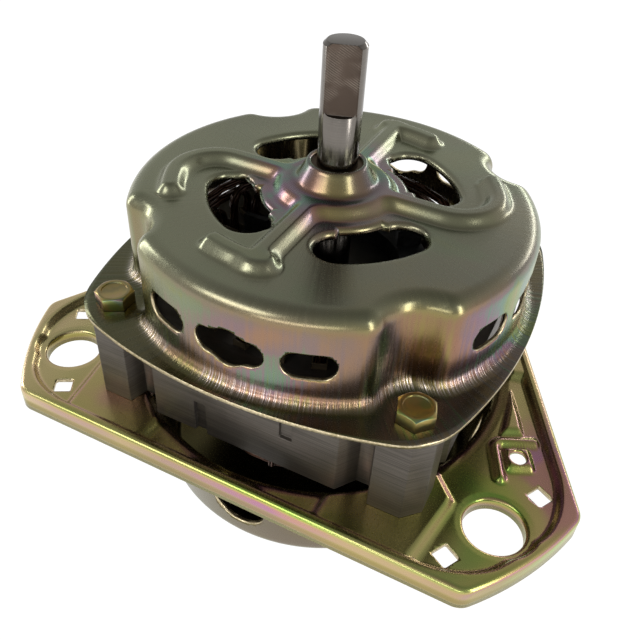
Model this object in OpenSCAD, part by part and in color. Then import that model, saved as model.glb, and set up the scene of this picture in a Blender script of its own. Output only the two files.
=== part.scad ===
// Washing machine motor: a capacitor-run induction motor with a laminated stator clamped
// between a drawn drive end cover and a three-eared base cover.
// The origin is on the shaft axis, in the plane of the top faces of the three mounting ears.
// +Z points along the shaft to its driven end, and +X runs along the long front edge of the base.

/* [Shaft] */
// Diameter of the ground shaft
shaft_d = 12; // [10:0.5:12.5]
// Height of the driven end above the ear plane
shaft_top_z = 106.5; // [96:0.5:130]
// Chamfer at the shaft ends
shaft_chamfer = 1; // [0.4:0.1:1.5]
// Depth of the milled flat
flat_depth = 2; // [0.5:0.1:3]
// Length of the milled flat
flat_len = 19; // [10:0.5:22]
// Direction that the flat faces, from +X
flat_angle = -70; // [-180:5:180]
// Corner radius at the lower end of the flat
flat_corner_r = 1.6; // [0.5:0.1:1.8]
// Running gap between shaft and bush, on the radius
bush_gap = 0.03; // [0.01:0.01:0.1]

/* [Stator core] */
// Width across the flat sides of the lamination stack
core_w = 110; // [107:0.5:110]
// Height of the lamination stack
core_h = 30.7; // [26:0.1:40]
// Height of the base seats that carry the stack
seat_h = 2.3; // [1.8:0.1:3]
// Corner chamfer of the laminations
core_chamfer = 4.8; // [3:0.1:6]
// Half width of the middle face between its two grooves
face_half_w = 30.3; // [26:0.1:31]
// Distance from the middle of a side to the outer edge of a groove
groove_end = 40.3; // [38.5:0.1:41.5]
// Depth of the side grooves
groove_depth = 6; // [2:0.1:6.5]
// Slant of the groove flank that belongs to the middle face
groove_slant = 4.2; // [0:0.1:4.5]
// Radius of the stator bore
bore_r = 33; // [31:0.5:34]
// Number of slots
slot_count = 24; // [16:8:24]
// Width of a slot
slot_w = 4.4; // [4.2:0.1:4.8]
// Radius of the slot bottoms
slot_out_r = 46; // [44.5:0.5:48]
// Height of the tooth tips that narrow the slot mouth
tooth_tip = 1.2; // [0.8:0.1:1.6]
// Width of the slot mouth
slot_mouth_w = 2; // [1.4:0.1:2.6]
// Width of the alignment notches in the side faces
notch_w = 4; // [2:0.1:5]
// Depth of the alignment notches
notch_d = 1.4; // [0.8:0.1:2]
// Distance of the notches from the middle of a side
notch_x = 14.2; // [8:0.1:22]
// Height of the upper lamination group, whose notches are on the other side
upper_group_h = 18.5; // [8:0.5:22]

/* [Through bolts] */
// Distance between neighbouring bolt axes
bolt_pitch = 94.7; // [94:0.1:95.4]
// Thread diameter
bolt_d = 6; // [5:0.5:6]
// Width of head and nut across the flats
hex_af = 10; // [8.5:0.5:10]
// Height of the bolt head
head_h = 4.2; // [3:0.1:5]
// Height of the nut
nut_h = 4; // [3:0.1:5]
// Thickness of the lock washer
washer_h = 1.2; // [0.8:0.1:1.6]
// Clearance of the bolt holes, on the radius
bolt_gap = 0.3; // [0.1:0.05:0.5]

/* [Drive end cover] */
// Sheet thickness of the cover
cover_t = 1.2; // [0.9:0.1:1.4]
// Outer radius of the drawn wall
cover_r = 61; // [60.5:0.1:61.2]
// Height of the roof above the flange top
cover_h = 29; // [27:0.1:38]
// Outer radius of the roof edge
roof_edge_r = 5; // [3:0.5:6]
// Radius where the wall meets the flange
foot_r = 4; // [2.5:0.5:4]
// Radius of the recess round each bolt head
flute_r = 11.8; // [11.4:0.1:12.2]
// Distance from the axis to the middle of a flange side
flange_half_w = 65.8; // [65.4:0.1:67]
// Radius of the bowed flange sides
flange_side_r = 150; // [130:5:180]
// Distance from the axis to the flange corners
flange_corner_r = 76; // [75:0.5:77]

/* [Roof windows and raised arms] */
// Inner radius of the roof windows
window_in_r = 24; // [23.8:0.1:25]
// Outer radius of the roof windows
window_out_r = 37.4; // [35:0.1:38]
// Angle between the centres of a window's round ends
window_span = 36; // [24:0.5:38]
// Step by which the middle of a window reaches further inwards
window_step = 1.7; // [0.5:0.1:1.8]
// Angle of that wider middle part
step_span = 34; // [16:0.5:36]
// Depth of the rolled edge below the roof
window_lip = 2.3; // [2.1:0.1:3]
// Height of the raised plateau and arms above the roof
raised_h = 3.2; // [2.4:0.1:3.6]
// Radius of the plateau top
plateau_r = 16; // [15.4:0.1:16.2]
// Run of the sloping flanks
flank_run = 2.4; // [1.8:0.1:2.6]
// Width of the flat top of an arm
arm_top_w = 3.8; // [3.4:0.1:4.6]
// Distance from the axis to the middle line of the long arms' outer stretch
hook_ring_r = 47.8; // [46.5:0.1:48]
// Bend radius of the long arms
arm_bend_r = 12.5; // [10:0.5:14]
// Angle that the long arms follow the rim beyond their bend
hook_sweep = 11; // [5:0.5:13]
// Distance from the axis to the middle line of the short arms' feet
short_ring_r = 45.6; // [44.6:0.1:47]
// Angle that a short arm's foot runs beside its leg
short_sweep = 18; // [12:0.5:20]
// Sideways shift of the arms from the axes
arm_shift = 0.8; // [0:0.1:1.2]

/* [Side windows] */
// Height of the side window centres above the flange top
vent_z = 13.2; // [12:0.1:14.5]
// Height of a side window
vent_h = 8.4; // [6:0.1:9]
// Width of the outer side windows
vent_w = 14.7; // [11:0.1:15.5]
// Width of the middle side window
mid_vent_w = 20.5; // [16:0.1:21]
// Diameter of the round part of the middle side window
mid_vent_d = 12.1; // [10:0.1:13]
// Angle between neighbouring side windows
vent_angle = 20.4; // [20.2:0.1:21.4]

/* [Hubs and bushes] */
// Height of the conical hubs
hub_h = 6.3; // [5.4:0.1:6.8]
// Base radius of a hub
hub_base_r = 12.1; // [11.9:0.1:12.3]
// Radius of a hub's rim, outside
hub_rim_r = 8.8; // [8.6:0.1:9.2]
// Radius of the ball-shaped outside of the bushes
bush_ball_r = 10.5; // [10.2:0.1:10.6]
// Length of a bush
bush_len = 14.4; // [13:0.2:15]
// Thickness of the spring retainers
retainer_t = 0.8; // [0.6:0.1:0.9]
// Number of claws on a retainer
claw_count = 8; // [6:1:10]

/* [Base plate] */
// Sheet thickness of the base
base_t = 1.5; // [1.2:0.1:1.6]
// Distance from the axis to the front edge
base_front = 68.4; // [68.2:0.1:70]
// Distance from the axis to each slanting edge
base_slant = 72; // [71.9:0.1:74]
// Direction of the slanting edges' outward normals
slant_angle = 26.6; // [26:0.2:28]
// Radius of the ear ends
ear_end_r = 100.2; // [99:0.2:103]
// Radius of the ear corners
ear_corner_r = 6; // [5.5:0.1:7]
// Height of the raised rim above the ears
rim_h = 2.9; // [2.4:0.1:3.6]
// Depth of the turned-down edge below the ears
rim_drop = 5; // [3.6:0.1:7]
// Width of the raised rim
rim_w = 4.2; // [3.8:0.1:4.6]
// Diameter of the circle through the ear holes
ear_pcd = 171.6; // [170:0.2:173]
// Diameter of the ear holes
ear_hole_d = 17.6; // [14:0.2:18]
// Depth of the turned-down lip of the ear holes below the ears
ear_lip = 4.4; // [3.4:0.1:5]
// Sideways distance of the square holes from the ear's middle line
square_shift = 18.1; // [17.2:0.1:18.6]
// Distance of the square holes' centres from the axis, along the ear
square_reach = 85.6; // [84:0.1:87]
// Width of the square holes
square_w = 5.6; // [4:0.1:6]

/* [Base bowl] */
// Depth of the bowl's flat bottom below the ears
bowl_depth = 40.8; // [39:0.1:46]
// Outer radius of the bowl just below the plate
bowl_top_r = 61; // [60.6:0.1:61.2]
// Outer radius of the bowl wall at the bottom
bowl_bottom_r = 56.3; // [55:0.1:57.5]
// Radius of the bowl's bottom edge
bowl_edge_r = 5; // [4:0.5:7]
// Radius of the round throat below the plate
throat_r = 3.8; // [3:0.1:3.9]
// Radius of the raised centre of the bottom
sump_r = 20; // [19.6:0.1:21]
// Width of the vents in the bowl wall
bowl_vent_w = 18; // [12:0.5:20]
// Height of the vents in the bowl wall
bowl_vent_h = 20; // [18:0.5:22]
// Depth of the vents' lower ends below the ears
bowl_vent_low = 31; // [29:0.5:32]

/* [Base pressings] */
// Side length of the square screw boss
boss_w = 8.6; // [8:0.1:9]
// Height of the screw boss
boss_h = 2; // [1.6:0.1:2.4]
// Diameter of the hole in the screw boss
boss_hole_d = 5; // [3:0.1:5]
// Width of the angled rib beside the boss
rib_w = 2.6; // [2:0.1:3]
// Height of the angled rib and of the three-sided panel
rib_h = 1.5; // [1:0.1:2]

/* [Windings] */
// Diameter of a wound bundle
bundle_d = 3; // [2.4:0.1:3.1]
// Pitch between the bundles that lie beside each other in the end turns
bundle_pitch = 3.8; // [3.7:0.1:4]
// Bend radius of the bundles, to their middle line
bundle_bend = 4.5; // [3.8:0.1:4.7]
// Reach of the end turns beyond the top of the stack
overhang = 16; // [15.5:0.1:17]
// Thickness of the slot liners
liner_t = 0.3; // [0.2:0.05:0.4]
// Reach of the slot liners beyond the stack
liner_collar = 2; // [1:0.1:2.4]
// Thickness of the slot wedges
wedge_t = 1; // [0.6:0.1:1.2]

/* [Rotor] */
// Gap between rotor and stator, on the radius
air_gap = 0.5; // [0.4:0.05:1]
// Number of cage bars
bar_count = 17; // [15:1:20]
// Diameter of a cage bar
bar_d = 4.6; // [3:0.1:5]
// Height of the cast end rings
end_ring_h = 6; // [4:0.5:8]
// Radial width of the cast end rings
end_ring_w = 9.5; // [8:0.5:12]
// Height of the fan blades on the end rings
blade_h = 6; // [3:0.5:8]
// Thickness of the fan blades
blade_t = 2; // [1.2:0.1:3]
// Number of fan blades on each ring
blade_count = 8; // [6:1:10]
// Thickness of the thrust washers and oil slingers
washer_t = 0.8; // [0.6:0.1:1]
// Free play of the rotor at each bush
end_play = 0.3; // [0.3:0.05:0.5]
// Thickness of the retaining rings
clip_t = 1; // [0.8:0.1:1.2]

/* [Hidden] */

$fn = 96;
zinc = [0.62, 0.58, 0.36];
lamination = [0.30, 0.30, 0.31];
steel = [0.68, 0.68, 0.68];
enamel = [0.55, 0.27, 0.12];
slack = 0.05;          // gap between parts that touch without turning
eps = 0.1;             // reach of a cut past the face that it opens
hair = 0.03;           // step between stretches of one raised form

shaft_r = shaft_d / 2;
core_top = seat_h + core_h;
flange_top = core_top + cover_t;
roof_z = flange_top + cover_h;
deck_z = roof_z + raised_h;
seat_under = seat_h - base_t;
bolt_hole_r = bolt_d / 2 + bolt_gap;
bolt_axis_r = bolt_pitch / sqrt(2);
hex_r = hex_af / sqrt(3);
hex_turns = [5, 20, 32.5, 48];
dish_h = 0.4;

// Slopes: a flank set back by one sheet thickness, measured level
flank_inset = cover_t * (sqrt(flank_run ^ 2 + raised_h ^ 2) - flank_run) / raised_h;
hub_slope = (hub_base_r - hub_rim_r) / hub_h;
hub_stretch = sqrt(1 + hub_slope ^ 2);

// Arms
arm_half = arm_top_w / 2 + flank_run;
window_mid_r = (window_in_r + window_out_r) / 2;
window_half = (window_out_r - window_in_r) / 2;

// Base
bowl_floor = -bowl_depth;
hub_lift = hub_h + 0.9;                 // the hub ends inside the plane that the motor stands on
sump_z = bowl_floor + hub_lift;
wall_lean = atan2(bowl_top_r - bowl_bottom_r, bowl_depth - base_t - throat_r - bowl_edge_r);
mouth_r = bowl_top_r + throat_r;        // where the throat meets the plate, above and below
seat_in_r = mouth_r + 0.5;
nut_room = hex_r + 2.4;                 // radius of the recess round each nut
nut_gap = 0.5;                          // from a nut to the turned-down edge
ear_dirs = [-30, 90, 210];
side_dirs = [-90, slant_angle, 180 - slant_angle];
side_dists = [base_front, base_slant, base_slant];
channel_w = rim_w - 2 * base_t;         // width of the groove under the raised rim
boss_at = [74, -17.2];
rib_corner = [65.6, -13.6];

// Bushes: the ball rests in the cone of its hub
claw_drop = bush_ball_r * 0.53;
function ball_drop(sheet) =
    ((bush_ball_r + slack) * hub_stretch - (hub_base_r - sheet * hub_stretch)) / hub_slope;
upper_ball = deck_z - ball_drop(cover_t);
lower_ball = -(sump_z + ball_drop(base_t));     // counted downwards
upper_seat = roof_z - cover_t - slack;
lower_seat = -(sump_z + base_t) - slack;        // counted downwards
upper_face = upper_ball - bush_len / 2;
lower_face = lower_ball - bush_len / 2;         // counted downwards
retainer_r = window_in_r - window_step - cover_t - 0.4;
knee_r = plateau_r + 0.8;
claw_tip_r = sqrt(bush_ball_r ^ 2 - claw_drop ^ 2) + slack;
felt_r = plateau_r - 1.2;
shaft_low_z = sump_z - hub_h + 0.5;
thrust_r = 9.5;
slinger_r = 11;
clip_r = 8.5;
clip_root_r = shaft_r * 11 / 12;
clip_gap = shaft_d * 5 / 12;
function clip_drop() = end_play + 2 * washer_t + 2 * slack;    // from a bush face to the ring

// Windings: each pole has a spiral of loops, one loop to each pair of slots
slot_in_r = bore_r + tooth_tip;
slot_angle = 360 / slot_count;
loops = slot_count / 8;
main_r = slot_out_r - slack - liner_t - 0.3 - bundle_d / 2;
aux_r = main_r - bundle_pitch - 1;
lead_shift = bundle_pitch + 0.4;
rotor_r = bore_r - air_gap;

// Raised arms. The sections run along lines, along rings about the axis and round bends.
// set_in shrinks the section all round, and depth moves its base down. Each stretch starts a
// little inside the one before it and is a hair smaller, so that no two faces coincide.
module flank_section(set_in, depth) {
    half = arm_half - set_in;
    translate([0, -depth])
        polygon([[-half, -1], [-half, 0], [-half + flank_run, raised_h],
            [half - flank_run, raised_h], [half, 0], [half, -1]]);
}

module arm_line(from, to, set_in, depth) {
    run = to - from;
    translate([from.x, from.y, roof_z])
        rotate([0, 0, atan2(run.y, run.x)])
            rotate([90, 0, 90])
                linear_extrude(norm(run)) flank_section(set_in, depth);
}

module arm_bow(center, bow_r, from_angle, to_angle, set_in, depth) {
    lap = hair * 10 / bow_r * 180 / PI;
    translate([center.x, center.y, roof_z])
        rotate([0, 0, from_angle - lap])
            rotate_extrude(angle = to_angle - from_angle + lap)
                translate([bow_r, 0]) flank_section(set_in, depth);
}

// The round end of a section that stops at a point
module arm_end(at, set_in, depth) {
    half = arm_half - set_in;
    translate([at.x, at.y, roof_z - depth]) {
        cylinder(r1 = half, r2 = half - flank_run, h = raised_h - hair);
        translate([0, 0, -1]) cylinder(r = half, h = 1);
    }
}

function polar(r, a) = [r * cos(a), r * sin(a)];

// A long arm leaves along -X, bends towards -Y and follows the rim
module long_arm(set_in, depth) {
    line_y = -arm_shift;
    bend_y = line_y - arm_bend_r;
    bend_x = -sqrt((hook_ring_r - arm_bend_r) ^ 2 - bend_y ^ 2);
    bend_end = 180 + atan2(-bend_y, -bend_x);
    arm_line([0, line_y], [bend_x, line_y], set_in, depth);
    arm_bow([bend_x, bend_y], arm_bend_r, 90, bend_end, set_in + hair, depth + hair);
    arm_bow([0, 0], hook_ring_r, bend_end, bend_end + hook_sweep, set_in + 2 * hair, depth + 2 * hair);
    arm_end(polar(hook_ring_r, bend_end + hook_sweep), set_in + 3 * hair, depth + 3 * hair);
}

// A short arm leaves along -Y and ends in a foot that points to -X
module short_arm(set_in, depth) {
    heel = -90 + asin(2 / short_ring_r);
    toe = -90 - short_sweep;
    arm_line([-arm_shift, 0], [-arm_shift, -short_ring_r], set_in, depth);
    arm_bow([0, 0], short_ring_r, toe, heel, set_in + hair, depth + hair);
    arm_end(polar(short_ring_r, heel), set_in + 2 * hair, depth + 2 * hair);
    arm_end(polar(short_ring_r, toe), set_in + 2 * hair, depth + 2 * hair);
}

module raised_forms(set_in, depth) {
    base_r = plateau_r + flank_run - set_in;
    translate([0, 0, roof_z - depth])
        cylinder(r1 = base_r, r2 = base_r - flank_run, h = raised_h);
    translate([0, 0, roof_z - depth - 1]) cylinder(r = base_r, h = 1);
    for (turn = [0, 180])
        rotate([0, 0, turn]) {
            long_arm(set_in, depth);
            short_arm(set_in, depth);
        }
}

// One roof window, grown by a margin and between two heights
module window_bean(grow, low, high) {
    tall = high - low;
    step_r = window_in_r - window_step;
    start = 45 - window_span / 2;
    step_extra = grow / step_r * 180 / PI;
    translate([0, 0, low]) {
        rotate([0, 0, start])
            rotate_extrude(angle = window_span)
                translate([window_in_r - grow, 0])
                    square([window_out_r - window_in_r + 2 * grow, tall]);
        for (end = [-1, 1])
            rotate([0, 0, 45 + end * window_span / 2])
                translate([window_mid_r, 0, 0]) cylinder(r = window_half + grow, h = tall);
        rotate([0, 0, 45 - step_span / 2 - step_extra])
            rotate_extrude(angle = step_span + 2 * step_extra)
                translate([step_r - grow, 0]) square([window_half, tall]);
    }
}

module window_cut() {
    window_bean(0, roof_z - window_lip - eps, roof_z + eps);
}

// The drawn shape of the cover, set in by the sheet thickness for its inside
module cover_form(set_in) {
    wall_r = cover_r - set_in;
    edge_r = roof_edge_r - set_in;
    foot = foot_r + set_in;
    top = roof_z - set_in;
    low = flange_top - set_in - (set_in > 0 ? eps : 0);
    recess_r = flute_r + set_in;
    recess_foot = foot + 2 * hair;      // a hair more than the wall's, so that no ends coincide
    recess_edge = edge_r + 2 * hair;
    difference() {
        rotate_extrude() {
            translate([0, low]) square([wall_r, top - edge_r - low]);
            translate([0, low]) square([wall_r - edge_r, top - low]);
            translate([wall_r - edge_r, top - edge_r]) circle(r = edge_r);
            difference() {
                translate([0, low]) square([wall_r + foot, flange_top - set_in + foot - low]);
                translate([wall_r + foot, flange_top - set_in + foot]) circle(r = foot);
            }
        }
        for (corner = [45:90:315])
            rotate([0, 0, corner])
                translate([bolt_axis_r, 0, 0])
                    rotate_extrude() {
                        difference() {
                            translate([0, flange_top - set_in])
                                square([recess_r, top + eps - flange_top + set_in]);
                            difference() {
                                translate([recess_r - recess_foot, flange_top - set_in - eps])
                                    square([recess_foot + eps, recess_foot + eps]);
                                translate([recess_r - recess_foot, flange_top - set_in + recess_foot])
                                    circle(r = recess_foot);
                            }
                        }
                        difference() {
                            translate([recess_r - eps, top - recess_edge])
                                square([recess_edge + eps, recess_edge + eps]);
                            translate([recess_r + recess_edge, top - recess_edge]) circle(r = recess_edge);
                        }
                    }
    }
}

module flange_sheet() {
    intersection() {
        translate([0, 0, core_top]) cylinder(r = flange_corner_r, h = cover_t, $fn = 180);
        intersection_for(side = [0:90:270])
            rotate([0, 0, side])
                translate([flange_half_w - flange_side_r, 0, core_top - 1])
                    cylinder(r = flange_side_r, h = cover_t + 2, $fn = 360);
    }
}

module radial_slot(width, height, level, reach) {
    translate([0, 0, level])
        rotate([90, 0, 90]) {
            translate([-(width - height) / 2, -height / 2, 0])
                cube([width - height, height, reach]);
            for (end = [-1, 1])
                translate([end * (width - height) / 2, 0, 0]) cylinder(d = height, h = reach);
        }
}

module side_windows() {
    level = flange_top + vent_z;
    reach = cover_r + 5;
    for (side = [0:90:270])
        rotate([0, 0, side]) {
            radial_slot(mid_vent_w, vent_h, level, reach);
            translate([0, 0, level]) rotate([0, 90, 0]) cylinder(d = mid_vent_d, h = reach);
            for (turn = [-1, 1])
                rotate([0, 0, turn * vent_angle]) radial_slot(vent_w, vent_h, level, reach);
        }
}

module hub_outside(level) {
    translate([0, 0, level - eps])
        cylinder(r1 = hub_base_r + eps * hub_slope, r2 = hub_rim_r, h = hub_h + eps);
}

module hub_inside(level, sheet) {
    low = level - sheet - eps;
    wall = sheet * hub_stretch;
    tall = hub_h + sheet + 2 * eps;
    translate([0, 0, low])
        cylinder(r1 = hub_base_r - wall + (sheet + eps) * hub_slope,
            r2 = hub_rim_r - wall - eps * hub_slope, h = tall);
}

module drive_end_cover() {
    color(zinc)
        difference() {
            union() {
                difference() {
                    union() {
                        cover_form(0);
                        flange_sheet();
                        raised_forms(0, 0);
                    }
                    cover_form(cover_t);
                    raised_forms(flank_inset, cover_t);
                }
                for (quarter = [0:90:270])
                    rotate([0, 0, quarter])
                        window_bean(cover_t, roof_z - window_lip, roof_z - cover_t / 2);
                hub_outside(deck_z);
            }
            for (quarter = [0:90:270]) rotate([0, 0, quarter]) window_cut();
            hub_inside(deck_z, cover_t);
            side_windows();
            for (corner = [45:90:315])
                rotate([0, 0, corner])
                    translate([bolt_axis_r, 0, core_top - eps])
                        cylinder(r = bolt_hole_r, h = cover_t + 2 * eps);
        }
}

// Outline of the base plate, set in from its edge. Round corners join the sides to the ear ends.
function arc_points(center, r, from, to, steps) =
    [for (i = [0:steps]) center + polar(r, from + (to - from) * i / steps)];

function corner_swing(dist) = acos((dist - ear_corner_r) / (ear_end_r - ear_corner_r));

function side_points(i, set_in) =
    let (dir = side_dirs[i], swing = corner_swing(side_dists[i]), r = ear_corner_r - set_in,
        reach = ear_end_r - ear_corner_r)
    concat(arc_points(polar(reach, dir - swing), r, dir - swing, dir, 5),
        arc_points(polar(reach, dir + swing), r, dir, dir + swing, 5));

function ear_points(i, set_in) =
    let (next = (i + 1) % 3, turn = i == 2 ? 360 : 0,
        from = side_dirs[i] + corner_swing(side_dists[i]),
        to = side_dirs[next] + turn - corner_swing(side_dists[next]))
    [for (k = [1:5]) polar(ear_end_r - set_in, from + (to - from) * k / 6)];

function base_outline(set_in) =
    [for (i = [0:2]) each concat(side_points(i, set_in), ear_points(i, set_in))];

module base_slab(set_in, low, high) {
    translate([0, 0, low]) linear_extrude(high - low) polygon(base_outline(set_in));
}

// Bowl, outside or inside: a leaning wall with a round bottom edge and a round throat
module bowl_form(set_in) {
    low = bowl_floor + set_in;
    edge = bowl_edge_r - set_in;
    edge_x = bowl_bottom_r - bowl_edge_r;
    edge_z = bowl_floor + bowl_edge_r;
    throat = throat_r + set_in;
    top_r = bowl_top_r - set_in;
    top_z = -base_t + set_in;
    knee_z = top_z - throat;
    room = nut_room + set_in;
    difference() {
        rotate_extrude() {
            polygon([[0, low], [edge_x, low], [edge_x + edge * cos(wall_lean), edge_z - edge * sin(wall_lean)],
                [top_r, knee_z], [top_r, top_z + (set_in > 0 ? eps : 0)], [0, top_z + (set_in > 0 ? eps : 0)]]);
            translate([edge_x, edge_z]) circle(r = edge);
            difference() {
                translate([0, knee_z]) square([top_r + throat, throat + (set_in > 0 ? eps : 0)]);
                translate([top_r + throat, knee_z]) circle(r = throat);
            }
        }
        for (corner = [45:90:315])
            rotate([0, 0, corner])
                translate([bolt_axis_r, 0, low - 1]) cylinder(r = room, h = bowl_depth + 2);
        translate([0, 0, low - 1]) cylinder(r = sump_r + set_in, h = 1 + hub_lift);
    }
}

// Seats under the corners of the stack: the front pair is bounded by straight steps
module front_seat(set_in, low, high) {
    step = set_in;
    translate([0, 0, low])
        linear_extrude(high - low)
            polygon([[28 + step, -base_front + rim_w / 2], [28 + step, -56], [44, -44], [54, -33 - step],
                [61.6 - step, -41 - step * 0.4], [61.6 - step, -44], [57.6 - step, -base_front + rim_w / 2]]);
}

module back_seat(set_in, low, high) {
    intersection() {
        base_slab(rim_w / 2 + set_in, low, high);
        difference() {
            rotate([0, 0, 15 + set_in])
                rotate_extrude(angle = 50 - 2 * set_in)
                    translate([mouth_r - 5, low - eps]) square([45, high - low + 2 * eps]);
            translate([0, 0, low - 1]) cylinder(r = seat_in_r + set_in, h = high - low + 2);
        }
    }
}

module seats(set_in, low, high) {
    for (flip = [0, 1])
        mirror([flip, 0, 0]) {
            difference() {
                front_seat(set_in, low, high);
                translate([0, 0, low - 1]) cylinder(r = seat_in_r + set_in, h = high - low + 2);
            }
            back_seat(set_in, low, high);
        }
    for (corner = [45:90:315])
        rotate([0, 0, corner])
            translate([bolt_axis_r, 0, low]) cylinder(r = nut_room + base_t - hair - set_in, h = high - low);
}

module angled_rib() {
    for (leg = [[12.5, slant_angle], [14, slant_angle - 93]])
        translate([rib_corner.x, rib_corner.y, -base_t / 2])
            rotate([0, 0, leg[1]]) {
                translate([0, -rib_w / 2, 0]) cube([leg[0], rib_w, rib_h + base_t / 2]);
                translate([leg[0], 0, 0]) cylinder(d = rib_w, h = rib_h + base_t / 2);
            }
    translate([rib_corner.x, rib_corner.y, -base_t / 2]) cylinder(d = rib_w, h = rib_h + base_t / 2);
}

module side_panel() {
    translate([0, 0, -base_t / 2])
        linear_extrude(rib_h + base_t / 2)
            polygon([[66.9, -9], [72.8, -6.2], [69.9, 0.4], [67.4, 5.2], [64.6, 10.4]]);
}

module screw_boss(grow, low, high) {
    side = boss_w + 2 * grow;
    translate([boss_at.x, boss_at.y, low])
        rotate([0, 0, slant_angle]) translate([-side / 2, -side / 2, 0]) cube([side, side, high - low]);
}

module base_vents() {
    for (side = [0:90:270])
        rotate([0, 0, side])
            translate([0, 0, -bowl_vent_low])
                rotate([90, 0, 90]) {
                    translate([0, bowl_vent_w / 2, 40]) cylinder(d = bowl_vent_w, h = 30);
                    translate([-bowl_vent_w / 2, bowl_vent_w / 2, 40])
                        cube([bowl_vent_w, bowl_vent_h - bowl_vent_w / 2, 30]);
                }
}

module ear_cuts() {
    for (dir = ear_dirs)
        rotate([0, 0, dir]) {
            translate([ear_pcd / 2, 0, -ear_lip - eps]) cylinder(d = ear_hole_d, h = ear_lip + 2 * eps);
            for (side = [-1, 1])
                translate([square_reach - square_w / 2, side * square_shift - square_w / 2, -base_t - eps])
                    cube([square_w, square_w, base_t + 2 * eps]);
        }
}

module ear_lips() {
    for (dir = ear_dirs)
        rotate([0, 0, dir])
            translate([ear_pcd / 2, 0, -ear_lip]) cylinder(r = ear_hole_d / 2 + base_t, h = ear_lip - base_t / 2);
}

module plate_and_seats() {
    difference() {
        union() {
            base_slab(0, -rim_drop, 0);
            difference() {
                base_slab(0, -eps, rim_h);
                base_slab(rim_w, -2 * eps, rim_h + eps);
                translate([-core_w / 2 - 0.6, -core_w / 2, seat_h])
                    cube([core_w + 1.2, core_w + 0.6, rim_h]);
            }
            seats(0, -eps, seat_h);
            screw_boss(0, -eps, boss_h);
        }
        base_slab(base_t, -rim_drop - eps, -base_t);
        difference() {
            base_slab(base_t, -base_t - eps, rim_h - base_t);
            base_slab(base_t + channel_w, -base_t - 2 * eps, rim_h);
        }
        seats(base_t, -base_t - eps, seat_under);
        screw_boss(-base_t, -base_t - eps, boss_h - base_t);
    }
}

// Keeps the turned-down edge clear of the nuts
module nut_clearance() {
    for (corner = [45:90:315])
        rotate([0, 0, corner])
            translate([bolt_axis_r, 0, -rim_drop - base_t])
                cylinder(r = hex_r + nut_gap, h = rim_drop - hair);
}

module base_cover() {
    color(zinc)
        difference() {
            union() {
                plate_and_seats();
                bowl_form(0);
                angled_rib();
                side_panel();
                ear_lips();
                mirror([0, 0, 1]) hub_outside(-sump_z);
            }
            bowl_form(base_t);
            mirror([0, 0, 1]) hub_inside(-sump_z, base_t);
            ear_cuts();
            base_vents();
            nut_clearance();
            translate([boss_at.x, boss_at.y, -base_t - eps])
                cylinder(d = boss_hole_d, h = boss_h + base_t + 2 * eps);
            for (corner = [45:90:315])
                rotate([0, 0, corner])
                    translate([bolt_axis_r, 0, seat_under - eps])
                        cylinder(r = bolt_hole_r, h = base_t + 2 * eps);
        }
}

module core_section() {
    half = core_w / 2;
    cut = core_chamfer;
    difference() {
        polygon([[-half + cut, -half], [half - cut, -half], [half, -half + cut], [half, half - cut],
            [half - cut, half], [-half + cut, half], [-half, half - cut], [-half, -half + cut]]);
        circle(r = bore_r, $fn = 180);
        for (side = [0:90:270], flip = [0, 1])
            rotate(side)
                mirror([flip, 0])
                    polygon([[face_half_w - groove_slant * eps, -half - groove_depth * eps],
                        [face_half_w + groove_slant, -half + groove_depth],
                        [groove_end - 1.8, -half + groove_depth],
                        [groove_end + 1.8 * eps, -half - groove_depth * eps]]);
        for (corner = [45:90:315])
            rotate(corner) translate([bolt_axis_r, 0]) circle(r = bolt_hole_r);
        for (i = [0:slot_count - 1])
            rotate((i + 0.5) * slot_angle) {
                translate([slot_in_r, -slot_w / 2]) square([slot_out_r - slot_in_r, slot_w]);
                translate([bore_r - 1, -slot_mouth_w / 2]) square([tooth_tip + 1 + eps, slot_mouth_w]);
            }
    }
}

module stator_core() {
    split_z = core_top - upper_group_h;
    color(lamination)
        difference() {
            translate([0, 0, seat_h]) linear_extrude(core_h) core_section();
            for (side = [0:90:270])
                rotate([0, 0, side])
                    for (group = [[-notch_x, seat_h - eps, split_z], [notch_x, split_z, core_top + eps]])
                        translate([group[0] - notch_w / 2, -core_w / 2 - eps, group[1]])
                            cube([notch_w, notch_d + eps, group[2] - group[1]]);
        }
}

module slot_liners() {
    outer_w = slot_w - 2 * slack;
    from_r = slot_in_r + wedge_t + 3 * slack;
    depth = slot_out_r - slack - from_r;
    tall = core_h + 2 * liner_collar;
    color([0.86, 0.84, 0.76])
        for (i = [0:slot_count - 1])
            rotate([0, 0, (i + 0.5) * slot_angle])
                translate([from_r, -outer_w / 2, seat_h - liner_collar])
                    difference() {
                        cube([depth, outer_w, tall]);
                        translate([-eps, liner_t, -eps])
                            cube([depth - liner_t + eps, outer_w - 2 * liner_t, tall + 2 * eps]);
                    }
}

module slot_wedges() {
    color([0.72, 0.62, 0.42])
        for (i = [0:slot_count - 1])
            rotate([0, 0, (i + 0.5) * slot_angle])
                translate([slot_in_r + slack, -slot_w / 2 + slack, seat_h - 1])
                    cube([wedge_t, slot_w - 2 * slack, core_h + 2]);
}

// A winding is one bundle that spirals through the slots of each pole in turn. Its route is a
// list of [angle, height, radius]: half_angle() is the angle of a loop's slots from the middle
// of the pole, and rise() is the reach of its end turns beyond the stack.
function half_angle(k) = (k - 0.5) * slot_angle;
function rise(k) = overhang - bundle_d / 2 - (loops - k) * bundle_pitch;
function top_level(k) = core_top + rise(k);
function low_level(k) = seat_h - rise(k);

function bend(mid, level, r, from, to) =
    [for (i = [0:3]) let (a = from + (to - from) * i / 3)
        [mid + bundle_bend * cos(a) / r * 180 / PI, level + bundle_bend * sin(a), r]];

function along(from, to, level, r) =
    let (count = floor(abs(to - from) / 14))
    [for (i = [1:1:count]) [from + (to - from) * i / (count + 1), level, r]];

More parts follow.
